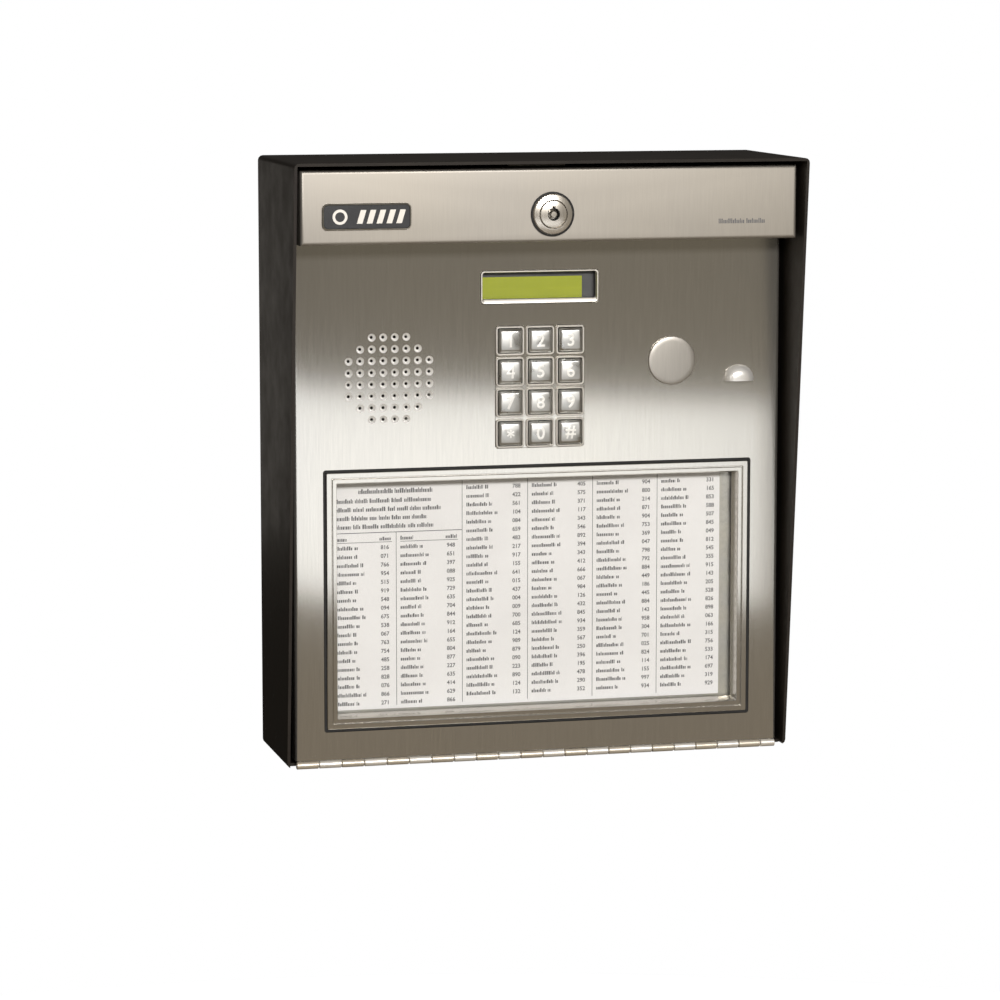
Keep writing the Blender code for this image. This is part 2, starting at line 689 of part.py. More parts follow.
def keypad_bezel(look, parent):
    """Die-cast frame: a skirted plate behind the sheet, and a raised rounded collar round each key."""
    w, h = keypad_half_size()
    neck = rounded_rect(0, KEY_CENTRE_Z, w - GAP, h - GAP, 0.0016)
    flange = rounded_rect(0, KEY_CENTRE_Z, w + 0.003, h + 0.003, 0.0030)
    room = rounded_rect(0, KEY_CENTRE_Z, w + 0.0015, h + 0.0015, 0.0016)
    back = FACE_BACK - GAP
    levels = (
        (neck, FACE_FRONT + 0.0002),
        (neck, back),
        (flange, back),
        (flange, BEZEL_RIM_BACK),
        (room, BEZEL_RIM_BACK),
        (room, BEZEL_BACK),
    )
    bezel = add_object("keypad_bezel", stack(bmesh.new(), *levels), look, parent)
    collars, wells = bmesh.new(), bmesh.new()
    for _, x, z in key_places():
        foot = rounded_rect(x, z, COLLAR_HALF, COLLAR_HALF, COLLAR_CORNER)
        crown_half = COLLAR_HALF - COLLAR_EASE
        crown = rounded_rect(x, z, crown_half, crown_half, COLLAR_CORNER - COLLAR_EASE)
        stack(collars, (foot, FACE_FRONT - GAP), (foot, COLLAR_FRONT - COLLAR_EASE), (crown, COLLAR_FRONT))
        well = rounded_rect(x, z, WELL_HALF, WELL_HALF, 0.0008, 1)
        stack(wells, (well, COLLAR_FRONT + 0.001), (well, BEZEL_RIM_BACK - 0.001))
    combine(bezel, "collars", collars, "UNION")
    combine(bezel, "wells", wells)


def keys(look, parent):
    """Square caps with chamfered, slightly dished tops and a retaining flange behind the frame."""
    for name, x, z in key_places():
        flange = rounded_rect(x, z, KEY_HALF + 0.0008, KEY_HALF + 0.0008, 0.0008, 1)
        body = rounded_rect(x, z, KEY_HALF, KEY_HALF, 0.0007, 1)
        rim = rounded_rect(x, z, KEY_HALF - 0.0013, KEY_HALF - 0.0013, 0.0007, 1)
        dish = rounded_rect(x, z, KEY_HALF - 0.0026, KEY_HALF - 0.0026, 0.0007, 1)
        seat = BEZEL_BACK - GAP
        levels = (
            (flange, seat - 0.0010),
            (flange, seat),
            (body, seat),
            (body, KEY_FRONT - 0.0010),
            (rim, KEY_FRONT),
            (dish, KEY_FRONT - 0.0003),
        )
        add_object(name, stack(bmesh.new(), *levels), look, parent, (x, -KEY_FRONT, z))


def keypad_backing(look, parent):
    """Silicone contact mat and the switch board that closes the keypad."""
    w, h = keypad_half_size()
    mat_front = BEZEL_BACK - GAP - 0.0010 - KEY_TRAVEL - GAP
    outline = rounded_rect(0, KEY_CENTRE_Z, w + 0.0010, h + 0.0010, 0.0014, 2)
    bm = stack(bmesh.new(), (outline, mat_front), (outline, BEZEL_RIM_BACK + 0.0001))
    add_object("keypad_mat", bm, look["mat"], parent)
    outline = rounded_rect(0, KEY_CENTRE_Z, w + 0.003, h + 0.003, 0.0030)
    front = BEZEL_RIM_BACK - GAP
    bm = stack(bmesh.new(), (outline, front), (outline, front - BOARD_THICKNESS))
    add_object("keypad_board", bm, look["board"], parent)


# ---- Speaker ----


def turned_ring(radius_depths, x, z, sides):
    return ring(bmesh.new(), *((circle(x, z, radius, sides), depth) for radius, depth in radius_depths))


def speaker_parts(look, parent):
    """Small moving-coil speaker sealed to the back of the grille by a foam ring."""
    place = (SPEAKER_X, SPEAKER_Z, SPEAKER_SIDES)
    foam_front = FACE_BACK - GAP
    rim = foam_front - SPEAKER_FOAM
    bore = SPEAKER_RADIUS - FOAM_WIDTH
    foam = tube(SPEAKER_X, SPEAKER_Z, SPEAKER_RADIUS, bore, foam_front, rim, SPEAKER_SIDES)
    add_object("speaker_gasket", foam, look["rubber"], parent)
    rim -= GAP
    rim_back = rim - BASKET_RIM_THICKNESS
    floor_front = BASKET_FLOOR + BASKET_FLOOR_THICKNESS
    outer, inner = BASKET_FLOOR_RADII
    levels = [
        (SPEAKER_RADIUS, rim),
        (SPEAKER_RADIUS, rim_back),
        (SPEAKER_RADIUS - BASKET_RIM_WIDTH + BASKET_RIM_THICKNESS, rim_back - BASKET_SKIN),
        (outer, floor_front),
        (outer, BASKET_FLOOR),
        (inner, BASKET_FLOOR),
        (inner, floor_front),
        (outer - BASKET_RIM_THICKNESS, floor_front),
        (SPEAKER_RADIUS - BASKET_RIM_WIDTH, rim_back),
        (SPEAKER_RADIUS - BASKET_RIM_WIDTH, rim),
    ]
    add_object("speaker_basket", turned_ring(levels, *place), look["zinc"], parent)
    outer, inner = CONE_NECK_RADII
    levels = [
        (CONE_OUTER_RADIUS, rim - BASKET_SKIN / 2),
        (CONE_OUTER_RADIUS, rim_back),
        (outer, CONE_NECK),
        (inner, CONE_NECK),
        (inner, CONE_NECK + BASKET_SKIN),
        (outer, CONE_NECK + BASKET_RIM_THICKNESS),
        (CONE_OUTER_RADIUS - 2 * CONE_EDGE_WIDTH, rim - BASKET_SKIN),
        (CONE_OUTER_RADIUS - CONE_EDGE_WIDTH, rim),
    ]
    add_object("speaker_cone", turned_ring(levels, *place), look["cone"], parent)
    magnet = disc(SPEAKER_X, SPEAKER_Z, MAGNET_RADIUS, BASKET_FLOOR - GAP, MAGNET_BACK, SPEAKER_SIDES)
    add_object("speaker_magnet", magnet, look["ferrite"], parent)


# ---- Blanking disc and microphone ----


def accessory_plug(look, parent):
    """Domed blanking disc over the accessory hole, held by a nut behind."""
    levels = [
        (PLUG_STEM_RADIUS, 0.0620),
        (PLUG_STEM_RADIUS, FACE_FRONT + GAP),
        (PLUG_RADIUS, FACE_FRONT + GAP),
        (PLUG_RADIUS, FACE_FRONT + 0.0009),
        (PLUG_RADIUS - 0.0006, FACE_FRONT + 0.0014),
        (PLUG_RADIUS * 0.5, FACE_FRONT + 0.0016),
    ]
    bm = stack(bmesh.new(), *((circle(PLUG_X, PLUG_Z, r, 32), d) for r, d in levels))
    add_object("accessory_plug", bm, look["brushed"], parent)
    front = FACE_BACK - GAP
    back = front - PLUG_NUT_THICKNESS
    hexagon = disc(PLUG_X, PLUG_Z, PLUG_NUT_RADIUS, front, back, 6)
    nut = add_object("plug_nut", hexagon, look["zinc"], parent)
    bore = disc(PLUG_X, PLUG_Z, PLUG_STEM_RADIUS + GAP, front + SHEET, back - SHEET, 32)
    combine(nut, "thread", bore)


def hood_outline(scale, steps=10):
    """Half-oval that is flat along the bottom."""
    w, h = MIC_HALF_WIDTH * scale, MIC_HEIGHT * scale
    angles = [pi * i / steps for i in range(steps + 1)]
    return [(MIC_X + w * cos(a), MIC_Z + h * sin(a) ** 0.7) for a in angles]


def shrunk_to_skin(outline):
    """The outline moved in by the hood's thickness at its sides and top, and past it below."""
    narrowing = 1 - MIC_SKIN / MIC_HALF_WIDTH
    return [(MIC_X + (x - MIC_X) * narrowing, z - MIC_SKIN) for x, z in outline]


def mic_parts(look, parent):
    """Rain hood over the microphone: a half dome with an open flat bottom, and the capsule inside."""
    foot = FACE_FRONT + GAP
    steps = (1.0, 0.97, 0.86, 0.66)
    rises = (0.0, 0.5, 0.84, 1.0)
    levels = [(hood_outline(s), foot + MIC_DEPTH * r) for s, r in zip(steps, rises)]
    hood = add_object("mic_hood", stack(bmesh.new(), *levels), look["polished"], parent)
    room = [(shrunk_to_skin(outline), depth - MIC_SKIN) for outline, depth in levels]
    combine(hood, "mouth", stack(bmesh.new(), *room))
    bm = disc(MIC_X, MIC_Z + MIC_HOLE_RISE, 0.0048, FACE_BACK - GAP, FACE_BACK - 0.0060, 20)
    add_object("mic_capsule", bm, look["zinc"], parent)


# ---- Directory ----


def directory_rect(inset, radius=0.0):
    w, h = DIRECTORY_HALF_WIDTH - inset, DIRECTORY_HALF_HEIGHT - inset
    return rounded_rect(0, DIRECTORY_Z, w, h, radius)


def directory_ring(levels):
    return ring(bmesh.new(), *((directory_rect(inset), depth) for inset, depth in levels))


def directory_parts(look, parent):
    """Glazed frame in a rubber channel, with the name list and its backing sheet behind the pane."""
    inner = GAP + GASKET_WIDTH
    front, lip_front = FACE_FRONT - GASKET_RECESS, FACE_BACK - GAP
    lip_back = lip_front - GASKET_LIP_THICKNESS
    levels = [
        (GAP, front),
        (GAP, lip_front),
        (-GASKET_LIP, lip_front),
        (-GASKET_LIP, lip_back),
        (inner, lip_back),
        (inner, front),
    ]
    add_object("directory_gasket", directory_ring(levels), look["rubber"], parent)
    outer = inner + GAP
    rear = PANE_FRONT - PANE_THICKNESS - SHEET_THICKNESS - BACK_PLATE_THICKNESS - 2 * GAP
    groove = outer + FRAME_BAND
    slope = groove + FRAME_GROOVE_WIDTH
    levels = [
        (outer, FRAME_FRONT - FRAME_EASE),
        (outer, rear),
        (outer + FRAME_SKIRT, rear),
        (outer + FRAME_SKIRT, PANE_FRONT + GAP),
        (outer + FRAME_LIP, PANE_FRONT + GAP),
        (outer + FRAME_LIP, PANE_FRONT + FRAME_LIP_THICKNESS),
        (slope + 2 * FRAME_EASE, FRAME_FRONT - 2 * FRAME_EASE),
        (slope + FRAME_EASE, FRAME_FRONT - FRAME_EASE / 2),
        (slope, FRAME_FRONT - FRAME_EASE / 2),
        (slope, FRAME_FRONT - FRAME_GROOVE_DEPTH),
        (groove, FRAME_FRONT - FRAME_GROOVE_DEPTH),
        (groove, FRAME_FRONT),
        (outer + FRAME_EASE, FRAME_FRONT),
    ]
    add_object("directory_frame", directory_ring(levels), look["brushed"], parent)
    fit = directory_rect(outer + FRAME_SKIRT + GAP)
    slices = (
        ("directory_window", PANE_THICKNESS, look["glass"]),
        ("directory_sheet", SHEET_THICKNESS, look["paper"]),
        ("directory_back_plate", BACK_PLATE_THICKNESS, look["zinc"]),
    )
    front = PANE_FRONT
    for name, thickness, finish in slices:
        add_object(name, stack(bmesh.new(), (fit, front), (fit, front - thickness)), finish, parent)
        front -= thickness + GAP
    for name, side in (("directory_clip_left", -1), ("directory_clip_right", 1)):
        x = side * (DIRECTORY_HALF_WIDTH - outer - CLIP_INSET)
        outline = rounded_rect(x, DIRECTORY_Z, *CLIP_HALF_SIZE, CLIP_CORNER)
        bm = stack(bmesh.new(), (outline, rear - GAP), (outline, rear - GAP - CLIP_THICKNESS))
        add_object(name, bm, look["zinc"], parent)


def build():
    clear_scene()
    look = looks()
    door = pivot("door_pivot", DOOR_PIVOT)
    lock = pivot("lock_pivot", LOCK_PIVOT)
    cabinet_shell(look["powder_coat"])
    lock_catch(look["zinc"])
    wire_bushing(look["rubber"])
    electronics(look)
    hinge_leaf("hinge_leaf_cabinet", 0, look["hinge_steel"], None, False)
    hinge_leaf("hinge_leaf_door", 1, look["hinge_steel"], door, True)
    hinge_pin(look["hinge_steel"])
    faceplate(look["brushed"], door)
    header_strip(look["brushed"], door)
    badge_plate(look["badge"], door)
    lock_parts(look, door, lock)
    display_parts(look, door)
    keypad_bezel(look["polished"], door)
    keys(look["polished"], door)
    keypad_backing(look, door)
    speaker_parts(look, door)
    accessory_plug(look, door)
    mic_parts(look, door)
    directory_parts(look, door)


build()
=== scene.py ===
"""Looks of the wall-mounted door intercom: studio, camera, materials and finely made visible pieces.

Metres, +Z up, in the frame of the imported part: the origin is the centre of the back face on the
wall, and the front looks along -Y. A "depth" is a distance forward of the wall.
"""

import random
from math import cos, pi, radians, sin

import bmesh
import bpy
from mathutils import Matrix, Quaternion, Vector


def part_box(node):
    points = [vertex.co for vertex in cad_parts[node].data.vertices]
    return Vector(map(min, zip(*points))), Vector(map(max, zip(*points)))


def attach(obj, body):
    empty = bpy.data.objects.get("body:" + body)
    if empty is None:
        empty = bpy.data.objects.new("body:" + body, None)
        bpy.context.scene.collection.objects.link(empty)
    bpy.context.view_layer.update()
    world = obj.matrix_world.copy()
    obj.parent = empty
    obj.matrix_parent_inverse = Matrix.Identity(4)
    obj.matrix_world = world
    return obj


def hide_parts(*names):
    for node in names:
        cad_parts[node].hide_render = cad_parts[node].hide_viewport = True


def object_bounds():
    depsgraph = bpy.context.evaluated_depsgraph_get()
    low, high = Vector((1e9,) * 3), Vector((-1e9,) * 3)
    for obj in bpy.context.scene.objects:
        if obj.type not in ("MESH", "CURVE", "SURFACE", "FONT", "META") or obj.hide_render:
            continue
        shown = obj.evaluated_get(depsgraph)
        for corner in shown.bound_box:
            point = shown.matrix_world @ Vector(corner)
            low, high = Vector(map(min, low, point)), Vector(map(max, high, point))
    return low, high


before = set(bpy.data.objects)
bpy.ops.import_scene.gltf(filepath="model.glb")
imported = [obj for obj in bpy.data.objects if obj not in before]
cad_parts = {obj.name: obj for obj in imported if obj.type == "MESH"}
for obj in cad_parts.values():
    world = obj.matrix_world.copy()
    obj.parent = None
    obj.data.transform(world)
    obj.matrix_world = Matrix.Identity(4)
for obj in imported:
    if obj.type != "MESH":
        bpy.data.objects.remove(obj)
cad_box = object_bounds()

# Camera: the angles it looks from, round the middle of the part
CAMERA_AZIMUTH = radians(-13.98)
CAMERA_ELEVATION = radians(7.71)
CAMERA_DISTANCE = 2.0975
CAMERA_LENS_MM = 137.54
CAMERA_AIM = Vector((-0.0164, 0.0040, -0.0239))

# Studio
FLOOR_DROP = 0.55
FLOOR_RADIUS = 1.6
ROOM = (0.195, 0.175, 0.138)
ROOM_BEHIND = (0.028, 0.025, 0.021)
ROOM_LOW = (0.243, 0.197, 0.138)
CEILING = (0.28, 0.27, 0.26)
FACE_CENTRE = Vector((0, 0, 0.03))
SIDE_OFFSET = Vector((-0.13, 0.45, -0.13))
BAND_TILT = radians(3.2)
WHITE = (1.0, 1.0, 1.0)
SOFT_WHITE = (1.0, 0.98, 0.95)

# Sheet metal and fits that the visible pieces share with the part
GAP = 0.0003
SEAT = 0.0001
SHEET = 0.0015
BEND_RADIUS = 0.0020
BEND_SEGMENTS = 8
GASKET_LIP = 0.0040
BEZEL_LIP = 0.0030
ROUND = 48
ROUND_FINE = 64
ROUND_SMALL = 24
SMOOTH_ANGLE = radians(35)
MERGE_DISTANCE = 0.000002


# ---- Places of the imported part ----


class Place:
    """Middle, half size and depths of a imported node, read from its box."""

    def __init__(self, node):
        low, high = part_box(node)
        self.x, self.z = (low.x + high.x) / 2, (low.z + high.z) / 2
        self.half_width, self.half_height = (high.x - low.x) / 2, (high.z - low.z) / 2
        self.left, self.right = low.x, high.x
        self.bottom, self.top = low.z, high.z
        self.back, self.front = -high.y, -low.y


# ---- Mesh helpers: outlines lie in XZ, and are placed at a depth ----


def circle(x, z, radius, sides=ROUND):
    angles = [2 * pi * i / sides for i in range(sides)]
    return [(x + radius * cos(a), z + radius * sin(a)) for a in angles]


def rounded_rect(x, z, half_width, half_height, radius, steps=8):
    points = []
    for quarter, (sx, sz) in enumerate(((1, 1), (-1, 1), (-1, -1), (1, -1))):
        cx = x + sx * (half_width - radius)
        cz = z + sz * (half_height - radius)
        for i in range(steps + 1):
            a = (quarter + i / steps) * pi / 2
            points.append((cx + radius * cos(a), cz + radius * sin(a)))
    return points


def bridge(bm, first, second):
    count = len(first)
    for i in range(count):
        j = (i + 1) % count
        bm.faces.new((first[i], first[j], second[j], second[i]))


def loops_at(bm, levels):
    return [[bm.verts.new((x, -depth, z)) for x, z in outline] for outline, depth in levels]


def stack(bm, *levels):
    """Closed solid through outlines of equal count, capped at both ends."""
    loops = loops_at(bm, levels)
    for first, second in zip(loops, loops[1:]):
        bridge(bm, first, second)
    bm.faces.new(loops[0])
    bm.faces.new(loops[-1])
    return bm


def ring(bm, *levels):
    """Closed ring whose outlines run round its cross-section, back to the first."""
    loops = loops_at(bm, levels)
    for first, second in zip(loops, loops[1:] + loops[:1]):
        bridge(bm, first, second)
    return bm


def turned(x, z, profile, closed=False, sides=ROUND):
    """Solid turned about an axis along Y, from (radius, depth) pairs."""
    levels = [(circle(x, z, radius, sides), depth) for radius, depth in profile]
    return (ring if closed else stack)(bmesh.new(), *levels)


def box(bm, x, y, z):
    """Box between two places along each axis."""
    outline = ((y[0], z[0]), (y[1], z[0]), (y[1], z[1]), (y[0], z[1]))
    ends = [[bm.verts.new((i, *point)) for point in outline] for i in x]
    bridge(bm, *ends)
    bm.faces.new(ends[0])
    bm.faces.new(ends[1])
    return bm


def block(place):
    """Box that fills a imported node's place."""
    depths, heights = (-place.front, -place.back), (place.bottom, place.top)
    return box(bmesh.new(), (place.left, place.right), depths, heights)


def bevel_where(bm, chosen, width, segments):
    edges = [e for e in bm.edges if chosen(e)]
    bmesh.ops.bevel(bm, geom=edges, offset=width, segments=segments, profile=0.5, affect="EDGES")


def object_of(name, bm):
    bmesh.ops.recalc_face_normals(bm, faces=bm.faces)
    mesh = bpy.data.meshes.new(name)
    bm.to_mesh(mesh)
    bm.free()
    made = bpy.data.objects.new(name, mesh)
    bpy.context.scene.collection.objects.link(made)
    return made


def with_cuts(obj, *cutters):
    """Cuts each helper mesh out of the object for good."""
    for bm in cutters:
        helper = object_of("cutter", bm)
        modifier = obj.modifiers.new("cut", "BOOLEAN")
        modifier.object = helper
        graph = bpy.context.evaluated_depsgraph_get()
        mesh = bpy.data.meshes.new_from_object(obj.evaluated_get(graph))
        obj.modifiers.clear()
        obj.data = mesh
        bpy.data.objects.remove(helper)
    return obj


def text_mesh(body, size, extrude, offset, **settings):
    """Mesh of generic figures in Blender's own font."""
    text = bpy.data.curves.new("figures", "FONT")
    text.body, text.size, text.extrude, text.offset = body, size, extrude, offset
    for name, value in settings.items():
        setattr(text, name, value)
    source = bpy.data.objects.new("figures", text)
    bpy.context.scene.collection.objects.link(source)
    graph = bpy.context.evaluated_depsgraph_get()
    mesh = bpy.data.meshes.new_from_object(source.evaluated_get(graph))
    bpy.data.objects.remove(source)
    return mesh


def piece(obj, look, body, slot, *replaced):
    """Finishes a visible piece: shading, material, and what it rides on and stands for."""
    obj.data.shade_smooth()
    obj.data.set_sharp_from_angle(angle=SMOOTH_ANGLE)
    obj.data.materials.clear()
    obj.data.materials.append(looks[look])
    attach(obj, body)
    if replaced:
        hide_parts(*replaced)
    return obj


def build(name, bm, look, body, slot, *replaced):
    return piece(object_of(name, bm), look, body, slot, *replaced)


# ---- Materials ----


def mix_colours(tree, factor, first, second):
    """Mixes two colours, each a tuple or another node's output."""
    made = tree.nodes.new("ShaderNodeMix")
    made.data_type = "RGBA"
    for socket, value in ((made.inputs[0], factor), (made.inputs[6], first), (made.inputs[7], second)):
        if isinstance(value, bpy.types.NodeSocket):
            tree.links.new(value, socket)
        else:
            socket.default_value = value if isinstance(value, float) else (*value, 1.0)
    return made


class Look:
    """A Principled material whose colour, roughness and bump come from procedural nodes."""

    def __init__(self, name, roughness=0.5, metallic=0.0, **direct):
        self.material = bpy.data.materials.new(name)
        self.material.use_nodes = True
        self.nodes = self.material.node_tree.nodes
        self.links = self.material.node_tree.links
        self.shader = self.nodes["Principled BSDF"]
        self.shader.inputs["Roughness"].default_value = roughness
        self.shader.inputs["Metallic"].default_value = metallic
        for socket, value in direct.items():
            self.shader.inputs[socket.replace("_", " ").title().replace("Ior", "IOR")].default_value = value
        self.place = self.nodes.new("ShaderNodeTexCoord").outputs["Object"]

    def node(self, kind, inputs=(), **settings):
        made = self.nodes.new(kind)
        for name, value in settings.items():
            setattr(made, name, value)
        for key, value in dict(inputs).items():
            if isinstance(value, bpy.types.NodeSocket):
                self.links.new(value, made.inputs[key])
            else:
                made.inputs[key].default_value = value
        return made

    def stretched(self, scale):
        return self.node("ShaderNodeMapping", {"Vector": self.place, "Scale": scale}).outputs[0]

    def noise(self, scale, detail=3.0, roughness=0.55):
        """Noise whose scale along X, Y and Z is given in features to the metre."""
        vector = self.stretched(scale if isinstance(scale, tuple) else (scale,) * 3)
        inputs = {"Vector": vector, "Scale": 1.0, "Detail": detail, "Roughness": roughness}
        return self.node("ShaderNodeTexNoise", inputs).outputs[0]

    def span(self, value, low, high, start=0.3, end=0.7):
        """Maps a value between start and end to low and high."""
        inputs = {0: value, 1: start, 2: end, 3: low, 4: high}
        return self.node("ShaderNodeMapRange", inputs, clamp=True).outputs[0]

    def blend(self, factor, first, second):
        return mix_colours(self.material.node_tree, factor, first, second).outputs[2]

    def shaded(self, value, first, second):
        """Colour that drifts from the first to the second with a noise."""
        return self.blend(self.span(value, 0.0, 1.0), first, second)

    def math(self, operation, first, second=0.0):
        return self.node("ShaderNodeMath", {0: first, 1: second}, operation=operation).outputs[0]

    def colour(self, value):
        if isinstance(value, tuple):
            self.shader.inputs["Base Color"].default_value = (*value, 1.0)
        else:
            self.links.new(value, self.shader.inputs["Base Color"])
        return self

    def feed(self, socket, value):
        self.links.new(value, self.shader.inputs[socket])
        return self

    def bump(self, height, distance, strength=1.0):
        inputs = {"Height": height, "Distance": distance, "Strength": strength}
        self.feed("Normal", self.node("ShaderNodeBump", inputs).outputs[0])
        return self.material


def brushed_steel(name, colour, roughness, anisotropy, metallic=0.9):
    """Sheet with a fine grain that runs up the part, and faint cloudy variation."""
    look = Look(name, roughness, metallic, anisotropic=anisotropy)
    grain = look.noise((1700.0, 1700.0, 60.0), 3.0, 0.6)
    clouds = look.noise((9.0, 9.0, 4.0), 2.0)
    darker = tuple(c * 0.955 for c in colour)
    lighter = tuple(min(1.0, c * 1.04) for c in colour)
    base = look.shaded(grain, darker, lighter)
    tint = look.shaded(clouds, (0.96, 0.96, 0.97), (1.0, 0.99, 0.97))
    tinted = mix_colours(look.material.node_tree, 1.0, base, tint)
    tinted.blend_type = "MULTIPLY"
    look.colour(tinted.outputs[2])
    look.feed("Roughness", look.span(grain, roughness * 0.96, roughness * 1.05))
    return look.bump(grain, 0.0000008)


def polished(name, colour, roughness):
    """Plated metal with faint polishing marks and a few soft smudges."""
    look = Look(name, roughness, 1.0)
    marks = look.noise((900.0, 900.0, 240.0), 3.0)
    smudges = look.noise(120.0, 2.0)
    look.colour(look.shaded(smudges, tuple(c * 0.94 for c in colour), colour))
    look.feed("Roughness", look.span(smudges, roughness, roughness * 2.0, 0.35, 0.75))
    return look.bump(marks, 0.000003)


def plated(name, colour, warm, roughness):
    """Plating with a crystalline mottle, as on clips, nuts and brackets."""
    look = Look(name, roughness, 1.0)
    mottle = look.noise(260.0, 4.0)
    drift = look.noise(45.0, 2.0)
    base = look.shaded(drift, colour, warm)
    look.colour(look.blend(look.span(mottle, 0.0, 0.35), base, tuple(c * 0.6 for c in colour)))
    look.feed("Roughness", look.span(mottle, roughness * 0.8, roughness * 1.3))
    return look.bump(mottle, 0.00001)


def powder_coat():
    """Satin brown-black paint with a fine orange peel."""
    look = Look("powder_coat_fine", 0.42, 0.0, specular_ior_level=0.30)
    peel = look.noise(1500.0, 2.0)
    dust = look.noise(60.0, 4.0)
    base = look.shaded(dust, (0.0150, 0.0118, 0.0096), (0.0215, 0.0172, 0.0140))
    look.colour(look.blend(look.span(peel, 0.0, 0.4), base, (0.034, 0.028, 0.023)))
    look.feed("Roughness", look.span(dust, 0.38, 0.50))
    return look.bump(peel, 0.00005, 0.6)


def moulded(name, colour, roughness=0.45, grain=2200.0, depth=0.00002):
    """Plastic or rubber with a spark-eroded grain."""
    look = Look(name, roughness)
    fine = look.noise(grain, 2.0)
    broad = look.noise(90.0, 3.0)
    paler = tuple(min(1.0, c * 1.35 + 0.004) for c in colour)
    look.colour(look.shaded(broad, colour, paler))
    look.feed("Roughness", look.span(fine, roughness * 0.85, min(1.0, roughness * 1.2)))
    return look.bump(fine, depth)


def circuit_board():
    """Green solder mask over copper tracks, with small plated vias."""
    look = Look("circuit_board_fine", 0.38)
    cells = look.stretched((210.0, 210.0, 260.0))
    inputs = {"Vector": cells, "Scale": 1.0}
    tracks = look.node("ShaderNodeTexVoronoi", inputs, distance="CHEBYCHEV").outputs["Distance"]
    edge = look.math("PINGPONG", tracks, 0.16)
    lines = look.span(edge, 0.0, 1.0, 0.05, 0.07)
    vias = look.span(tracks, 1.0, 0.0, 0.045, 0.060)
    mask = look.blend(lines, (0.008, 0.070, 0.026), (0.018, 0.130, 0.050))
    look.colour(look.blend(vias, mask, (0.60, 0.52, 0.30)))
    look.feed("Roughness", look.span(look.noise(400.0), 0.30, 0.46))
    return look.bump(lines, 0.00003)


def paper():
    look = Look("list_paper", 0.82)
    fibre = look.noise((900.0, 900.0, 500.0), 5.0)
    blotch = look.noise(25.0, 2.0)
    base = look.shaded(blotch, (0.89, 0.885, 0.885), (0.94, 0.937, 0.937))
    look.colour(look.blend(look.span(fibre, 0.0, 0.25), base, (0.76, 0.755, 0.75)))
    look.feed("Roughness", look.span(fibre, 0.76, 0.90))
    return look.bump(fibre, 0.00002)


def ink():
    look = Look("list_ink", 0.6)
    toner = look.noise(2600.0, 3.0)
    look.colour(look.shaded(toner, (0.075, 0.075, 0.080), (0.20, 0.20, 0.205)))
    return look.bump(toner, 0.000005)


CELL_WIDTH = 0.0032
CELL_HEIGHT = 0.0058


def display_green():
    """Lit liquid-crystal screen with faint rows of character cells."""
    look = Look("display_green_fine", 0.30, 0.0, emission_strength=0.10)
    look.shader.inputs["Emission Color"].default_value = (0.36, 0.42, 0.03, 1.0)
    glow = look.noise((30.0, 30.0, 90.0), 2.0)
    base = look.shaded(glow, (0.325, 0.360, 0.004), (0.385, 0.420, 0.008))
    axes = look.node("ShaderNodeSeparateXYZ", {0: look.place}).outputs

    def cells(axis, pitch):
        wave = look.math("PINGPONG", look.math("MULTIPLY", axes[axis], 1 / pitch), 0.5)
        return look.span(wave, 0.0, 1.0, 0.03, 0.07)

    gaps = look.math("MINIMUM", cells("X", CELL_WIDTH), cells("Z", CELL_HEIGHT))
    look.colour(look.blend(look.math("MULTIPLY", gaps, 0.22), base, (0.20, 0.25, 0.02)))
    return look.bump(gaps, 0.000004)


def clear_pane():
    look = Look("clear_pane_fine", 0.05, 0.0, alpha=0.03, ior=1.49)
    dust = look.noise(300.0, 4.0)
    look.colour(look.shaded(dust, (0.30, 0.33, 0.32), (0.42, 0.44, 0.43)))
    look.feed("Roughness", look.span(dust, 0.03, 0.14))
    return look.bump(look.noise(14.0, 1.0), 0.00002)


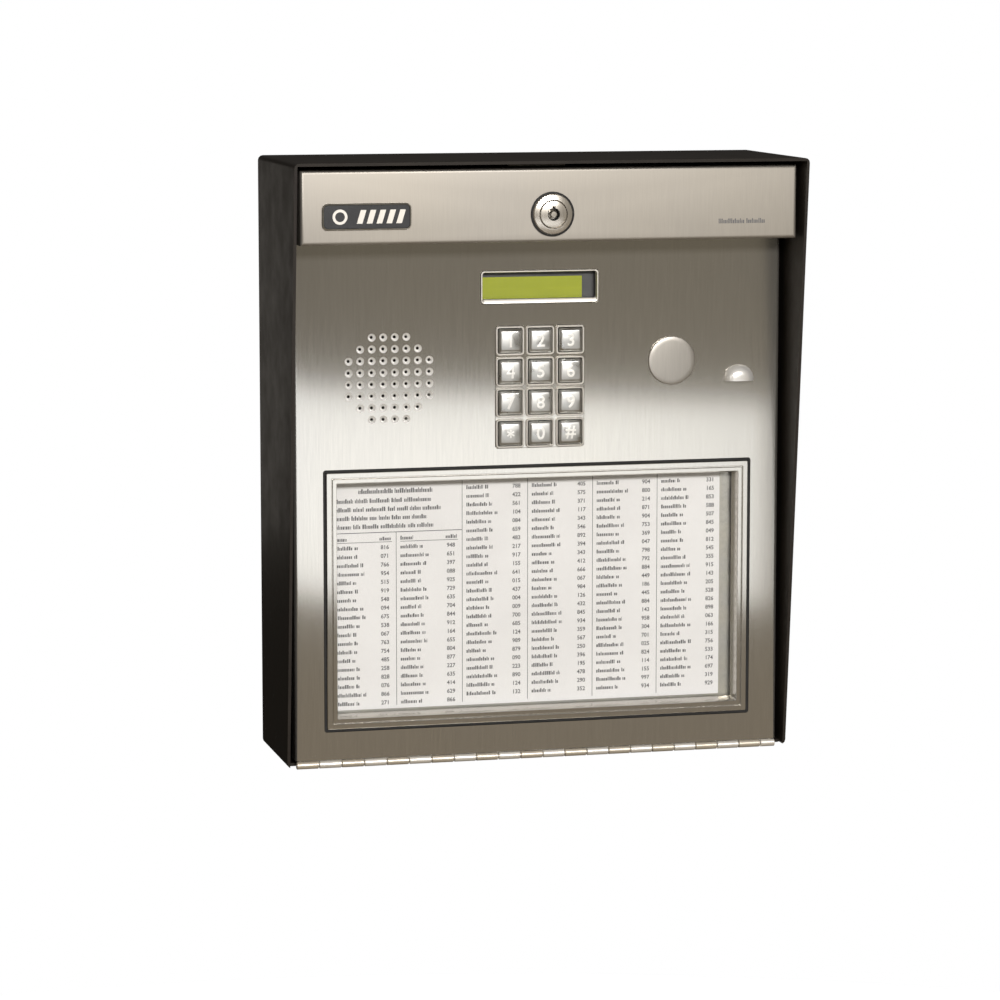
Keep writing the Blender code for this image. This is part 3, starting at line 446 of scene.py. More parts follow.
def make_looks():
    """A look for each packed slot, then those of the finer pieces."""
    return {
        "powder_coat": powder_coat(),
        "brushed_stainless": brushed_steel("brushed_stainless_fine", (0.60, 0.575, 0.53), 0.155, 0.95),
        "hinge_steel": brushed_steel("hinge_steel_fine", (0.86, 0.83, 0.77), 0.34, 0.2, 0.55),
        "chrome": polished("chrome_fine", (0.82, 0.81, 0.79), 0.08),
        "zinc": plated("zinc_plate", (0.56, 0.55, 0.52), (0.60, 0.57, 0.48), 0.38),
        "brass": plated("turned_brass", (0.62, 0.47, 0.20), (0.55, 0.40, 0.18), 0.28),
        "aluminium_can": plated("drawn_can", (0.62, 0.62, 0.60), (0.56, 0.56, 0.55), 0.30),
        "badge": moulded("badge_enamel", (0.022, 0.023, 0.026), 0.30),
        "rubber": moulded("black_rubber_fine", (0.010, 0.010, 0.010), 0.72),
        "silicone": moulded("grey_silicone_fine", (0.24, 0.24, 0.25), 0.62),
        "black_plastic": moulded("black_plastic_fine", (0.016, 0.016, 0.018), 0.48),
        "terminal_plastic": moulded("terminal_green_fine", (0.025, 0.20, 0.065), 0.42),
        "relay_plastic": moulded("relay_blue_fine", (0.028, 0.085, 0.25), 0.38),
        "ferrite": moulded("ferrite_fine", (0.045, 0.045, 0.047), 0.62, 900.0, 0.00005),
        "cone": moulded("pressed_cone", (0.018, 0.017, 0.016), 0.85, 1300.0, 0.00008),
        "board": circuit_board(),
        "paper": paper(),
        "display": display_green(),
        "clear_pane": clear_pane(),
        "ink": ink(),
        "resistor": moulded("resistor_body", (0.42, 0.30, 0.17), 0.40),
        "mask": moulded("display_mask_grey", (0.050, 0.050, 0.052), 0.40),
        "header": brushed_steel("header_satin", (0.402, 0.377, 0.338), 0.50, 0.2, 0.8),
        "trim": brushed_steel("trim_satin", (0.62, 0.60, 0.56), 0.42, 0.0, 0.8),
        "disc": brushed_steel("disc_satin", (0.44, 0.42, 0.39), 0.36, 0.0, 0.85),
        # Lighter, half-diffuse copy of the faceplate's steel for the countersinks: painted highlight
        "cup": brushed_steel("countersunk_cup_painted_highlight", (0.84, 0.83, 0.81), 0.42, 0.0, 0.5),
        # Whiter, half-diffuse steel for the microphone hood: painted highlight that makes the dome read
        # bright white
        "hood": brushed_steel("hood_satin_painted_highlight", (0.88, 0.87, 0.85), 0.26, 0.0, 0.55),
        "lock": brushed_steel("lock_satin_chrome", (0.66, 0.62, 0.56), 0.24, 0.0, 0.85),
        "key": polished("key_satin_chrome", (0.55, 0.55, 0.535), 0.26),
        "sign": brushed_steel("raised_sign", (0.93, 0.93, 0.91), 0.40, 0.0, 0.12),
        "tan_steel": brushed_steel("hinge_steel_tan", (0.69, 0.63, 0.53), 0.34, 0.2, 0.6),
    }


looks = make_looks()


def smooth_nodes():
    """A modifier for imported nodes: joins their split points and shades shallow angles smooth."""
    group = bpy.data.node_groups.new("smooth_by_angle", "GeometryNodeTree")
    group.interface.new_socket("Geometry", in_out="INPUT", socket_type="NodeSocketGeometry")
    group.interface.new_socket("Geometry", in_out="OUTPUT", socket_type="NodeSocketGeometry")
    nodes, links = group.nodes, group.links
    start, end = nodes.new("NodeGroupInput"), nodes.new("NodeGroupOutput")
    plain = nodes.new("GeometryNodeRemoveAttribute")
    plain.inputs["Name"].default_value = "custom_normal"
    merge = nodes.new("GeometryNodeMergeByDistance")
    merge.inputs["Distance"].default_value = MERGE_DISTANCE
    faces, edges = nodes.new("GeometryNodeSetShadeSmooth"), nodes.new("GeometryNodeSetShadeSmooth")
    faces.domain, edges.domain = "FACE", "EDGE"
    faces.inputs["Shade Smooth"].default_value = True
    edges.inputs["Shade Smooth"].default_value = False
    angle, over = nodes.new("GeometryNodeInputMeshEdgeAngle"), nodes.new("FunctionNodeCompare")
    over.inputs[1].default_value = SMOOTH_ANGLE
    chain = (start, plain, merge, faces, edges)
    for first, second in zip(chain, chain[1:]):
        links.new(first.outputs[0], second.inputs["Geometry"])
    links.new(angle.outputs[0], over.inputs[0])
    links.new(over.outputs[0], edges.inputs["Selection"])
    links.new(edges.outputs[0], end.inputs[0])
    return group


EASE_WIDTH = 0.0004
EASED = (
    "relay_left",
    "relay_right",
    "line_transformer",
    "ribbon_socket",
    "terminal_row_left",
    "terminal_row_right",
    "lock_catch",
)


def dress_nodes():
    """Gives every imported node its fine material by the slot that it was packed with."""
    group = smooth_nodes()
    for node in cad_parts.values():
        slot = node.material_slots[0].material.name.split(".")[0]
        node.material_slots[0].material = looks[slot]
        node.modifiers.new("smooth", "NODES").node_group = group
    for name in EASED:
        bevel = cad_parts[name].modifiers.new("eased_edges", "BEVEL")
        bevel.width, bevel.segments = EASE_WIDTH, 2
        bevel.limit_method, bevel.angle_limit = "ANGLE", SMOOTH_ANGLE


dress_nodes()


# ---- Door sheet metal ----

GRILLE_ROWS = (4, 6, 8, 8, 8, 8, 6, 4)
GRILLE_PITCH = 0.00633
GRILLE_MOUTH = 0.00215
GRILLE_BORE = 0.00085
COUNTERSINK = ((0.00185, 0.00012), (0.00160, 0.00045), (0.00122, 0.00085), (GRILLE_BORE, 0.0011))
COLLAR_CORNER = 0.0018

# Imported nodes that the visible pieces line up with
FACE = Place("faceplate")
HEADER = Place("header_strip")
LOCK = Place("lock_housing")
PLUG = Place("accessory_plug")
MIC = Place("mic_hood")
KEYPAD = Place("keypad_bezel")
DISPLAY = Place("display_bezel")
DIRECTORY = Place("directory_gasket")
SPEAKER = Place("speaker_gasket")


def is_front(edge, depth):
    return all(v.co.y < -depth for v in edge.verts)


def is_upright(edge):
    first, second = edge.verts
    return abs(first.co.z - second.co.z) > SHEET


def grille_holes():
    middle = (len(GRILLE_ROWS) - 1) / 2
    for row, count in enumerate(GRILLE_ROWS):
        for i in range(count):
            x = SPEAKER.x + (i - (count - 1) / 2) * GRILLE_PITCH
            yield x, SPEAKER.z + (middle - row) * GRILLE_PITCH


def opening(place, lip, corner):
    """Outline of a cut-out that sits inside a fitting's flange."""
    return rounded_rect(0, place.z, place.half_width - lip, place.half_height - lip, corner)


def faceplate():
    """Door sheet with folded sides, its openings, and a field of smooth countersunk holes."""
    half, back = FACE.half_width, FACE.front - SHEET
    bm = block(FACE)
    bevel_where(bm, lambda e: is_front(e, back) and is_upright(e), BEND_RADIUS, BEND_SEGMENTS)
    plate = object_of("faceplate_sheet", bm)
    inner = half - SHEET
    fold = box(bmesh.new(), (-inner, inner), (-back, 0), (FACE.bottom - SHEET, FACE.top + SHEET))
    through = (FACE.front + SHEET, back - SHEET)
    outlines = [
        opening(DIRECTORY, GASKET_LIP, SHEET),
        opening(DISPLAY, BEZEL_LIP, COLLAR_CORNER),
        opening(KEYPAD, BEZEL_LIP, COLLAR_CORNER),
        circle(PLUG.x, PLUG.z, PLUG.half_width * 0.75),
        circle(MIC.x, MIC.bottom + BEZEL_LIP, BEND_RADIUS),
        circle(LOCK.x, LOCK.z, LOCK.half_width),
    ]
    openings, grille = bmesh.new(), bmesh.new()
    for outline in outlines:
        stack(openings, (outline, through[0]), (outline, through[1]))
    for x, z in grille_holes():
        mouth = circle(x, z, GRILLE_MOUTH, ROUND_SMALL)
        stack(grille, (mouth, through[0]), (mouth, through[1]))
    sheet = with_cuts(plate, fold, openings, grille)
    piece(sheet, "brushed_stainless", "door", "brushed_stainless", "faceplate")


def grille_cups():
    """The pressed, rounded countersinks, each with its small bore, in a lighter copy of the sheet's steel
    that paints their highlight.
    """
    cups = bmesh.new()
    rim, front = GRILLE_MOUTH - 0.00001, FACE.front
    back = front - SHEET + 0.00005
    profile = [(rim, front)] + [(radius, front - fall) for radius, fall in COUNTERSINK]
    profile += [(GRILLE_BORE, back), (rim, back)]
    for x, z in grille_holes():
        ring(cups, *((circle(x, z, radius, ROUND_SMALL), depth) for radius, depth in profile))
    # The countersinks take the lighter copy of the steel: painted highlight on their crescents
    build("grille_cups", cups, "cup", "door", "brushed_stainless")


def header_strip():
    """Satin pan over the faceplate's top, with soft folded edges."""
    bm = block(HEADER)
    bevel_where(bm, lambda e: is_front(e, HEADER.front - SHEET), BEND_RADIUS, BEND_SEGMENTS)
    x, z = HEADER.half_width - SHEET, (HEADER.bottom + SHEET, HEADER.top - SHEET)
    hollow = box(bmesh.new(), (-x, x), (-HEADER.front + SHEET, 0), z)
    hole = circle(LOCK.x, LOCK.z, LOCK.half_width * 0.8)
    lock_hole = stack(bmesh.new(), (hole, HEADER.front + SHEET), (hole, HEADER.front - 2 * SHEET))
    strip = with_cuts(object_of("header_pan", bm), hollow, lock_hole)
    piece(strip, "header", "door", "brushed_stainless", "header_strip")


BADGE_CORNER = 0.0030
BARS = 5
BARS_LEFT = -0.0055
BAR_PITCH = 0.0053
BAR_WIDTH = 0.0030
BAR_LEAN = 0.0022
BAR_HALF_HEIGHT = 0.0036
EMBLEM_X = -0.0145
EMBLEM_RADII = (0.0040, 0.0026)
EMBLEM_RISE = 0.00008


def emblem_bars(bm, badge):
    """Plain slanted bars beside a ring: a mark that stands for no maker."""
    back, front = badge.front - GAP, badge.front + EMBLEM_RISE
    low, high = badge.z - BAR_HALF_HEIGHT, badge.z + BAR_HALF_HEIGHT
    for i in range(BARS):
        left = badge.x + BARS_LEFT + i * BAR_PITCH
        right = left + BAR_WIDTH
        outline = [(left, low), (right, low), (right + BAR_LEAN, high), (left + BAR_LEAN, high)]
        stack(bm, (outline, back), (outline, front))
    outer, inner = [circle(badge.x + EMBLEM_X, badge.z, radius, 32) for radius in EMBLEM_RADII]
    ring(bm, (outer, back), (outer, front), (inner, front), (inner, back))


def badge_plate():
    """Dark enamel plate in a thin bright rim, carrying a generic mark."""
    badge = Place("badge_plate")
    w, h, back, front = badge.half_width, badge.half_height, badge.back, badge.front

    def outline(inset):
        return rounded_rect(badge.x, badge.z, w - inset, h - inset, BADGE_CORNER - inset)

    levels = [(0.0, back), (0.0, front - 0.0003), (0.0003, front)]
    levels += [(0.0007, front), (0.0009, front - 0.0003), (0.0009, back)]
    build("badge_rim", ring(bmesh.new(), *((outline(i), d) for i, d in levels)), "chrome", "door", "chrome")
    plate = stack(bmesh.new(), (outline(0.0010), back), (outline(0.0010), front - 0.0002))
    build("badge_enamel_plate", plate, "badge", "door", "badge", "badge_plate")
    marks = bmesh.new()
    emblem_bars(marks, badge)
    build("badge_mark", marks, "trim", "door", "chrome")


# ---- Lock ----

LOCK_CROWN = 0.0034
LOCK_FALL = 0.0017
LOCK_FACE = 0.0073
KEYWAY_RADII = (0.0015, 0.0034)
KEYWAY_DEPTH = 0.0060
NOTCH_HALF_WIDTH = 0.0008
NOTCH_REACH = 0.0010
# Thickness of the black sleeve that paints shade into the keyway's groove
KEYWAY_SHADE_SKIN = 0.0003
# Crest and width of a black ring round the bezel's edge: painted contact shadow
SHADOW_RING_CREST = 0.0009
SHADOW_RING_WIDTH = 0.0009
BARREL_RADIUS = 0.0092
TAIL_RADIUS = 0.0040


def dome(radius):
    """Depth of the lock's crowned face at this distance from its axis."""
    return HEADER.front + LOCK_CROWN - LOCK_FALL * (radius / LOCK.half_width) ** 2


def lock_housing():
    """Crowned bezel with a thin flange, and a groove round the turning core; a black ring round its edge is
    painted shadow.
    """
    rim, front = LOCK.half_width, HEADER.front
    # Black ring round the bezel's edge: painted shadow where the bezel meets the header
    crest, inner = front + SHADOW_RING_CREST, rim - SHADOW_RING_WIDTH
    shadow_ring_outline = [(rim, front + SEAT), (rim, crest - 0.0002), (rim - 0.0003, crest), (inner, crest)]
    shadow_ring_mesh = turned(LOCK.x, LOCK.z, shadow_ring_outline + [(inner, front + SEAT)], True, ROUND_FINE)
    build("lock_painted_shadow_ring", shadow_ring_mesh, "rubber", "door", "rubber")
    edge, bore = inner - 0.0002, LOCK_FACE + GAP
    profile = [(edge, front + SEAT), (edge, dome(rim) - 0.0004), (edge - 0.0002, dome(rim) - 0.0001)]
    profile += [(radius, dome(radius)) for radius in (edge - 0.0005 - i * 0.0004 for i in range(7))]
    profile += [(bore + 0.0002, dome(LOCK_FACE) - 0.0001), (bore, dome(LOCK_FACE) - 0.0005)]
    profile += [(bore, LOCK.back), (BARREL_RADIUS, LOCK.back), (BARREL_RADIUS, front + SEAT)]
    mesh = turned(LOCK.x, LOCK.z, profile, True, ROUND_FINE)
    build("lock_bezel", mesh, "lock", "door", "chrome", "lock_housing")


def lock_core():
    """Turning core with a tubular keyway: a ring round a bright post, notched at the top; a black sleeve in
    the groove is painted shade.
    """
    tail, shoulder = Place("lock_plug").back, LOCK.back - GAP
    radii = [LOCK_FACE - 0.0003 - i * 0.0008 for i in range(9)] + [0.0003]
    profile = [(TAIL_RADIUS, tail), (TAIL_RADIUS, shoulder), (LOCK_FACE, shoulder)]
    profile += [(LOCK_FACE, dome(LOCK_FACE) - 0.0003)] + [(radius, dome(radius)) for radius in radii]
    core = object_of("lock_core_face", turned(LOCK.x, LOCK.z, profile, False, ROUND_FINE))
    post, groove = KEYWAY_RADII
    front, foot = dome(0) + SHEET, dome(0) - KEYWAY_DEPTH
    levels = [(groove, front), (groove, foot), (post, foot), (post, front)]
    keyway = turned(LOCK.x, LOCK.z, levels, True)
    heights = (LOCK.z + post + GAP, LOCK.z + groove + NOTCH_REACH)
    notch = box(bmesh.new(), (-NOTCH_HALF_WIDTH, NOTCH_HALF_WIDTH), (-front, -foot), heights)
    piece(with_cuts(core, keyway, notch), "lock", "lock_core", "chrome", "lock_plug")
    # Black rubber sleeve lining the keyway's groove: painted shade where the groove lies in shadow
    wall, mouth = groove - SEAT, dome(groove) - KEYWAY_SHADE_SKIN
    shade_sleeve = [(wall, foot), (wall, mouth), (wall - KEYWAY_SHADE_SKIN, mouth), (wall - KEYWAY_SHADE_SKIN, foot)]
    build("lock_keyway_painted_shade", turned(LOCK.x, LOCK.z, shade_sleeve, True), "rubber", "lock_core", "rubber")


# ---- Display ----

JAMB = 0.0013
SILL = 0.0026
INNER_CORNER = 0.0012
FLANGE_CORNER = 0.0040
FLANGE_FRONT = 0.0014
SHROUD = 0.0001
SCREEN_PLACE = (-0.0048, -0.0010)
SCREEN_HALF_SIZE = (0.0300, 0.0061)
SCREEN_CORNER = 0.0003
MASK_MARGIN = 0.0020


def display():
    """Framed opening with a bright sill, a black shroud, and the lit screen in its dark mask."""
    w, h = DISPLAY.half_width - BEZEL_LIP, DISPLAY.half_height - BEZEL_LIP
    front, back, seat = FACE.front, DISPLAY.back, FACE.front - SHEET - GAP

    def outline(side, top, sill, corner=COLLAR_CORNER):
        z, half = DISPLAY.z + (sill - top) / 2, h - (sill + top) / 2
        return rounded_rect(0, z, w - side, half, corner)

    collar, throat = outline(GAP, GAP, GAP), outline(JAMB, JAMB, SILL, INNER_CORNER)
    flange = outline(-BEZEL_LIP, -BEZEL_LIP, -BEZEL_LIP, FLANGE_CORNER)
    levels = [
        (collar, seat),
        (collar, front),
        (outline(0.0005, 0.0005, 0.0005), front + 0.0003),
        (outline(0.0010, 0.0010, 0.0008), front + 0.0003),
        (throat, front - 0.0006),
        (throat, back + FLANGE_FRONT),
        (flange, back + FLANGE_FRONT),
        (flange, seat),
    ]
    build("display_frame", ring(bmesh.new(), *levels), "trim", "door", "brushed_stainless", "display_bezel")
    inner = outline(JAMB + SHROUD, JAMB + SHROUD, SILL + SHROUD, INNER_CORNER)
    lid = back + FLANGE_FRONT - SHROUD
    levels = [(flange, lid), (inner, lid), (inner, back), (flange, back)]
    build("display_shroud", ring(bmesh.new(), *levels), "black_plastic", "door", "black_plastic")
    module = Place("display_module")
    body = block(module)
    bevel_where(body, lambda edge: True, 0.0005, 2)
    build("display_body", body, "black_plastic", "door", "black_plastic", "display_module")
    base, top = module.front + 0.00005, module.front + 0.00020
    x, rise = SCREEN_PLACE
    lit = rounded_rect(x, DISPLAY.z + rise, *SCREEN_HALF_SIZE, SCREEN_CORNER, 2)
    mesh = stack(bmesh.new(), (lit, base), (lit, top - 0.00005))
    build("display_screen", mesh, "display", "door", "display")
    edge = rounded_rect(0, DISPLAY.z, w + MASK_MARGIN, h + MASK_MARGIN, SCREEN_CORNER, 2)
    levels = [(edge, base), (edge, top), (lit, top), (lit, base)]
    build("display_mask", ring(bmesh.new(), *levels), "mask", "door", "black_plastic")


# ---- Keypad ----

KEY_HALF = 0.00635
COLLAR_HALF = 0.0080
BEAD_CORNER = 0.0021
WELL_HALF = 0.00675
WELL_CORNER = 0.0009
FLANGE_THICKNESS = 0.0010
DIGIT_SIZE = 0.0096
DIGIT_RISE = 0.00016
DIGIT_BEVEL = 0.00006
DIGIT_WEIGHT = 0.00012
KEY_SIGNS = {"key_star": "*", "key_hash": "#"}
KEYS = sorted(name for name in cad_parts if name.startswith("key_"))


def keypad_frame():
    """Plate with a well for each key, and a rounded bead round each well."""
    seat, brow = FACE.front - SHEET - GAP, KEYPAD.front - 0.0002
    neck, flange = opening(KEYPAD, BEZEL_LIP + GAP, 0.0016), opening(KEYPAD, 0, BEZEL_LIP)
    bm = stack(bmesh.new(), (neck, FACE.front + SEAT), (neck, seat), (flange, seat), (flange, KEYPAD.back))
    wells, beads = bmesh.new(), bmesh.new()
    for name in KEYS:
        key = Place(name)
        well = rounded_rect(key.x, key.z, WELL_HALF, WELL_HALF, WELL_CORNER)
        stack(wells, (well, FACE.front + SHEET), (well, KEYPAD.back - SHEET))
        levels = [
            (COLLAR_HALF, FACE.front - SHEET),
            (COLLAR_HALF, KEYPAD.front - 0.0005),
            (COLLAR_HALF - 0.00012, brow),
            (COLLAR_HALF - 0.0004, KEYPAD.front),
            (WELL_HALF + 0.0004, KEYPAD.front),
            (WELL_HALF + 0.00012, brow),
            (WELL_HALF, KEYPAD.front - 0.0005),
            (WELL_HALF, FACE.front - SHEET),
        ]
        corner = BEAD_CORNER - COLLAR_HALF
        ring(beads, *((rounded_rect(key.x, key.z, half, half, half + corner), d) for half, d in levels))
    plate = with_cuts(object_of("keypad_frame", bm), wells)
    piece(plate, "brushed_stainless", "door", "chrome", "keypad_bezel")
    build("keypad_beads", beads, "trim", "door", "chrome")


def key_cap(name):
    """Square cap: chamfered rim, flat face, retaining flange behind."""
    key = Place(name)
    front, half, flange = key.front, KEY_HALF, key.half_width
    levels = [
        (flange, key.back),
        (flange, key.back + FLANGE_THICKNESS),
        (half, key.back + FLANGE_THICKNESS),
        (half, front - 0.0014),
        (half - 0.00012, front - 0.0011),
        (half - 0.0011, front - 0.00012),
        (half - 0.0014, front),
    ]
    outlines = [(rounded_rect(key.x, key.z, w, w, min(WELL_CORNER, w * 0.8), 5), d) for w, d in levels]
    build(f"{name}_face", stack(bmesh.new(), *outlines), "key", f"{name}_cap", "chrome", name)


def key_digit(name):
    """Raised sign, centred on its cap."""
    key, sign = Place(name), KEY_SIGNS.get(name, name[-1])
    bm = bmesh.new()
    mesh = text_mesh(sign, DIGIT_SIZE, DIGIT_RISE, DIGIT_WEIGHT, bevel_depth=DIGIT_BEVEL, bevel_resolution=1)
    bm.from_mesh(mesh)
    bmesh.ops.remove_doubles(bm, verts=bm.verts, dist=MERGE_DISTANCE * 2)
    x, y = [[v.co[axis] for v in bm.verts] for axis in (0, 1)]
    mid_x, mid_y = (min(x) + max(x)) / 2, (min(y) + max(y)) / 2
    for v in bm.verts:
        v.co = Vector((key.x + v.co.x - mid_x, -key.front + DIGIT_BEVEL - v.co.z, key.z + v.co.y - mid_y))
    build(f"{name}_sign", bm, "sign", f"{name}_cap", "chrome")


# ---- Blanking disc and microphone hood ----


STEM_SHARE = 0.72
RIM_HEIGHT = 0.0006
RIM_ROUND = 0.0004
DISC_CROWN = ((0.8, 0.00115), (0.4, 0.00128))
HOOD_SKIN = 0.0008
HOOD_STEPS = (0, 18, 36, 52, 66, 78, 87)


def blanking_disc():
    """Satin disc with a rolled rim, over its threaded stem."""
    rim, seat = PLUG.half_width, FACE.front + GAP
    stem, brow = rim * STEM_SHARE, seat + RIM_HEIGHT
    profile = [(stem, PLUG.back), (stem, seat), (rim - 0.0002, seat), (rim, seat + 0.0002), (rim, brow)]
    profile += [(rim - RIM_ROUND * (1 - cos(a)), brow + RIM_ROUND * sin(a)) for a in (0.5, 1.0, 1.57)]
    profile += [(rim * share, seat + height) for share, height in DISC_CROWN] + [(0.0005, seat + 0.0013)]
    mesh = turned(PLUG.x, PLUG.z, profile, False, 72)
    build("blanking_disc", mesh, "disc", "door", "brushed_stainless", "accessory_plug")


def hood_outline(scale, steps=28):
    angles = [pi * i / steps for i in range(steps + 1)]
    height = (MIC.top - MIC.bottom) * scale
    width = MIC.half_width * scale
    return [(MIC.x + width * cos(a), MIC.bottom + height * sin(a) ** 0.75) for a in angles]


def microphone_hood():
    """Polished half dome over the microphone hole, open along its flat foot; its whiter, half-diffuse finish
    paints the dome's bright highlight.
    """
    foot, depth = FACE.front + GAP, MIC.front - FACE.front - GAP
    levels = [(hood_outline(cos(a) ** 0.6), foot + depth * sin(a)) for a in map(radians, HOOD_STEPS)]
    narrow = 1 - HOOD_SKIN / MIC.half_width
    room = []
    for outline, d in levels:
        inside = [(MIC.x + (x - MIC.x) * narrow, z - HOOD_SKIN) for x, z in outline]
        room.append((inside, d - HOOD_SKIN))
    hood = with_cuts(object_of("microphone_hood", stack(bmesh.new(), *levels)), stack(bmesh.new(), *room))
    # The hood's whiter finish is painted highlight
    piece(hood, "hood", "door", "chrome", "mic_hood")


# ---- Piano hinge ----

KNUCKLE_PITCH = 0.0125
KNUCKLE_RADIUS = 0.00204
KNUCKLE_CLEARANCE = 0.0004
LEAF_THICKNESS = 0.0009
LEAF_INSET = 0.00005


def knuckle(bm, pin, x):
    """One rolled knuckle round the pin, with eased ends."""
    ease, bore = 0.0002, pin.half_height + GAP
    levels = [
        (bore, x[0]),
        (KNUCKLE_RADIUS - ease, x[0]),
        (KNUCKLE_RADIUS, x[0] + ease),
        (KNUCKLE_RADIUS, x[1] - ease),
        (KNUCKLE_RADIUS - ease, x[1]),
        (bore, x[1]),
    ]
    middle = -(pin.front + pin.back) / 2
    loops = [[bm.verts.new((i, y, z)) for y, z in circle(middle, pin.z, radius, 28)] for radius, i in levels]
    for first, second in zip(loops, loops[1:] + loops[:1]):
        bridge(bm, first, second)


def hinge():
    """Two leaves whose rolled knuckles take turns along the pin."""
    pin = Place("hinge_pin")
    y, outer = -(pin.front + pin.back) / 2, KNUCKLE_RADIUS - LEAF_INSET
    inner = outer - LEAF_THICKNESS
    upright, flat = Place("hinge_leaf_door"), Place("hinge_leaf_cabinet")
    plates = {
        "hinge_leaf_cabinet": ((y, -flat.back), (pin.z - outer, pin.z - inner), "cabinet", "tan_steel"),
        "hinge_leaf_door": ((y + inner, y + outer), (pin.z, upright.top), "door", "hinge_steel"),
    }
    clear = KNUCKLE_RADIUS + KNUCKLE_CLEARANCE
    for own, (name, (depth, height, body, steel)) in enumerate(plates.items()):
        knuckles, notches = bmesh.new(), bmesh.new()
        leaf = box(bmesh.new(), (pin.left + SHEET, pin.right - SHEET), depth, height)
        left, number = pin.left - GAP, 0
        while left < pin.right - GAP:
            right = min(left + KNUCKLE_PITCH, pin.right + GAP)
            if number % 2 == own:
                knuckle(knuckles, pin, (left + GAP, right - GAP))
                slot = 2 * GAP
            else:
                slot = clear
            box(notches, (left - GAP, right + GAP), (y - slot, y + slot), (pin.z - slot, pin.z + slot))
            left, number = left + KNUCKLE_PITCH, number + 1
        plate = with_cuts(object_of(f"{name}_plate", leaf), notches)
        piece(plate, steel, body, "hinge_steel", name)
        build(f"{name}_knuckles", knuckles, steel, body, "hinge_steel")


# ---- Directory list ----

FRAME_LIP = 0.0070
FRAME_CORNER = 0.0006
SHEET_SHORT = 0.0060
COLUMNS = 6
COLUMN_PITCH = 0.0368
ROW_PITCH = 0.00475
INK_RISE = 0.00004
RULE = 0.0003
INDENT = 0.0014
CODE_INDENT = 0.0272
PANEL_HEIGHT = 0.0275
PANEL_LINE = 0.0047
PANEL_WORDS_MM = ((9, 7, 11, 6, 15), (8, 6, 11, 4, 6, 6, 10), (7, 9, 4, 6, 5, 4, 8), (8, 4, 9, 14, 4, 9))
CODE_SIZE = 0.0031
LETTER_PITCH = (0.0007, 0.0012)
LETTER_GAP = 0.00028
ASCENDERS = (0.0, 0.0, 0.3)
WORD_GAP = 0.0011
CODE_WEIGHT = 0.00007


def mark(bm, sheet_front, x, z):
    """One thin printed bar."""
    box(bm, x, (-sheet_front - INK_RISE, -sheet_front), z)


def greeked(bm, front, x, z, widths, height=0.0021):
    """A line of plain blocks in place of words: each width is a word."""
    for width in widths:
        end = x + width
        while x < end:
            step = random.uniform(*LETTER_PITCH)
            rise = random.choice(ASCENDERS) * height
            mark(bm, front, (x, min(x + step - LETTER_GAP, end)), (z, z + height * 0.7 + rise))
            x += step
        x = end + WORD_GAP


def code_column(bm, front, x, z, count):
    """Generic three-figure codes, one to a row."""
    body = "\n".join(f"{random.randrange(1000):03d}" for _ in range(count))
    first, spacing = len(bm.verts), ROW_PITCH / CODE_SIZE
    bm.from_mesh(text_mesh(body, CODE_SIZE, INK_RISE / 2, CODE_WEIGHT, space_line=spacing, resolution_u=3))
    bm.verts.ensure_lookup_table()
    for v in bm.verts[first:]:
        v.co = Vector((x + v.co.x, -front - INK_RISE / 2 - v.co.z, z + v.co.y))


def directory_frame():
    """Glazing frame: an outer band, a groove, an inner band and a steep wall down to the pane."""
    place, pane = Place("directory_frame"), Place("directory_window")
    front, seat = place.front, pane.front + GAP
    levels = [
        (0.0, place.back),
        (0.0, front - 0.0003),
        (0.0003, front),
        (0.0026, front),
        (0.0028, front - 0.0002),
        (0.0028, front - 0.0011),
        (0.0034, front - 0.0011),
        (0.0034, front - 0.0002),
        (0.0036, front),
        (0.0054, front),
        (0.0057, front - 0.0004),
        (0.0062, front - 0.0030),
        (FRAME_LIP, seat + 0.0008),
        (FRAME_LIP, seat),
        (0.0012, seat),
        (0.0012, place.back),
    ]
    w, h = place.half_width, place.half_height
    rims = [(rounded_rect(0, place.z, w - i, h - i, FRAME_CORNER, 3), depth) for i, depth in levels]
    mesh = ring(bmesh.new(), *rims)
    build("glazing_frame", mesh, "brushed_stainless", "door", "brushed_stainless", "directory_frame")


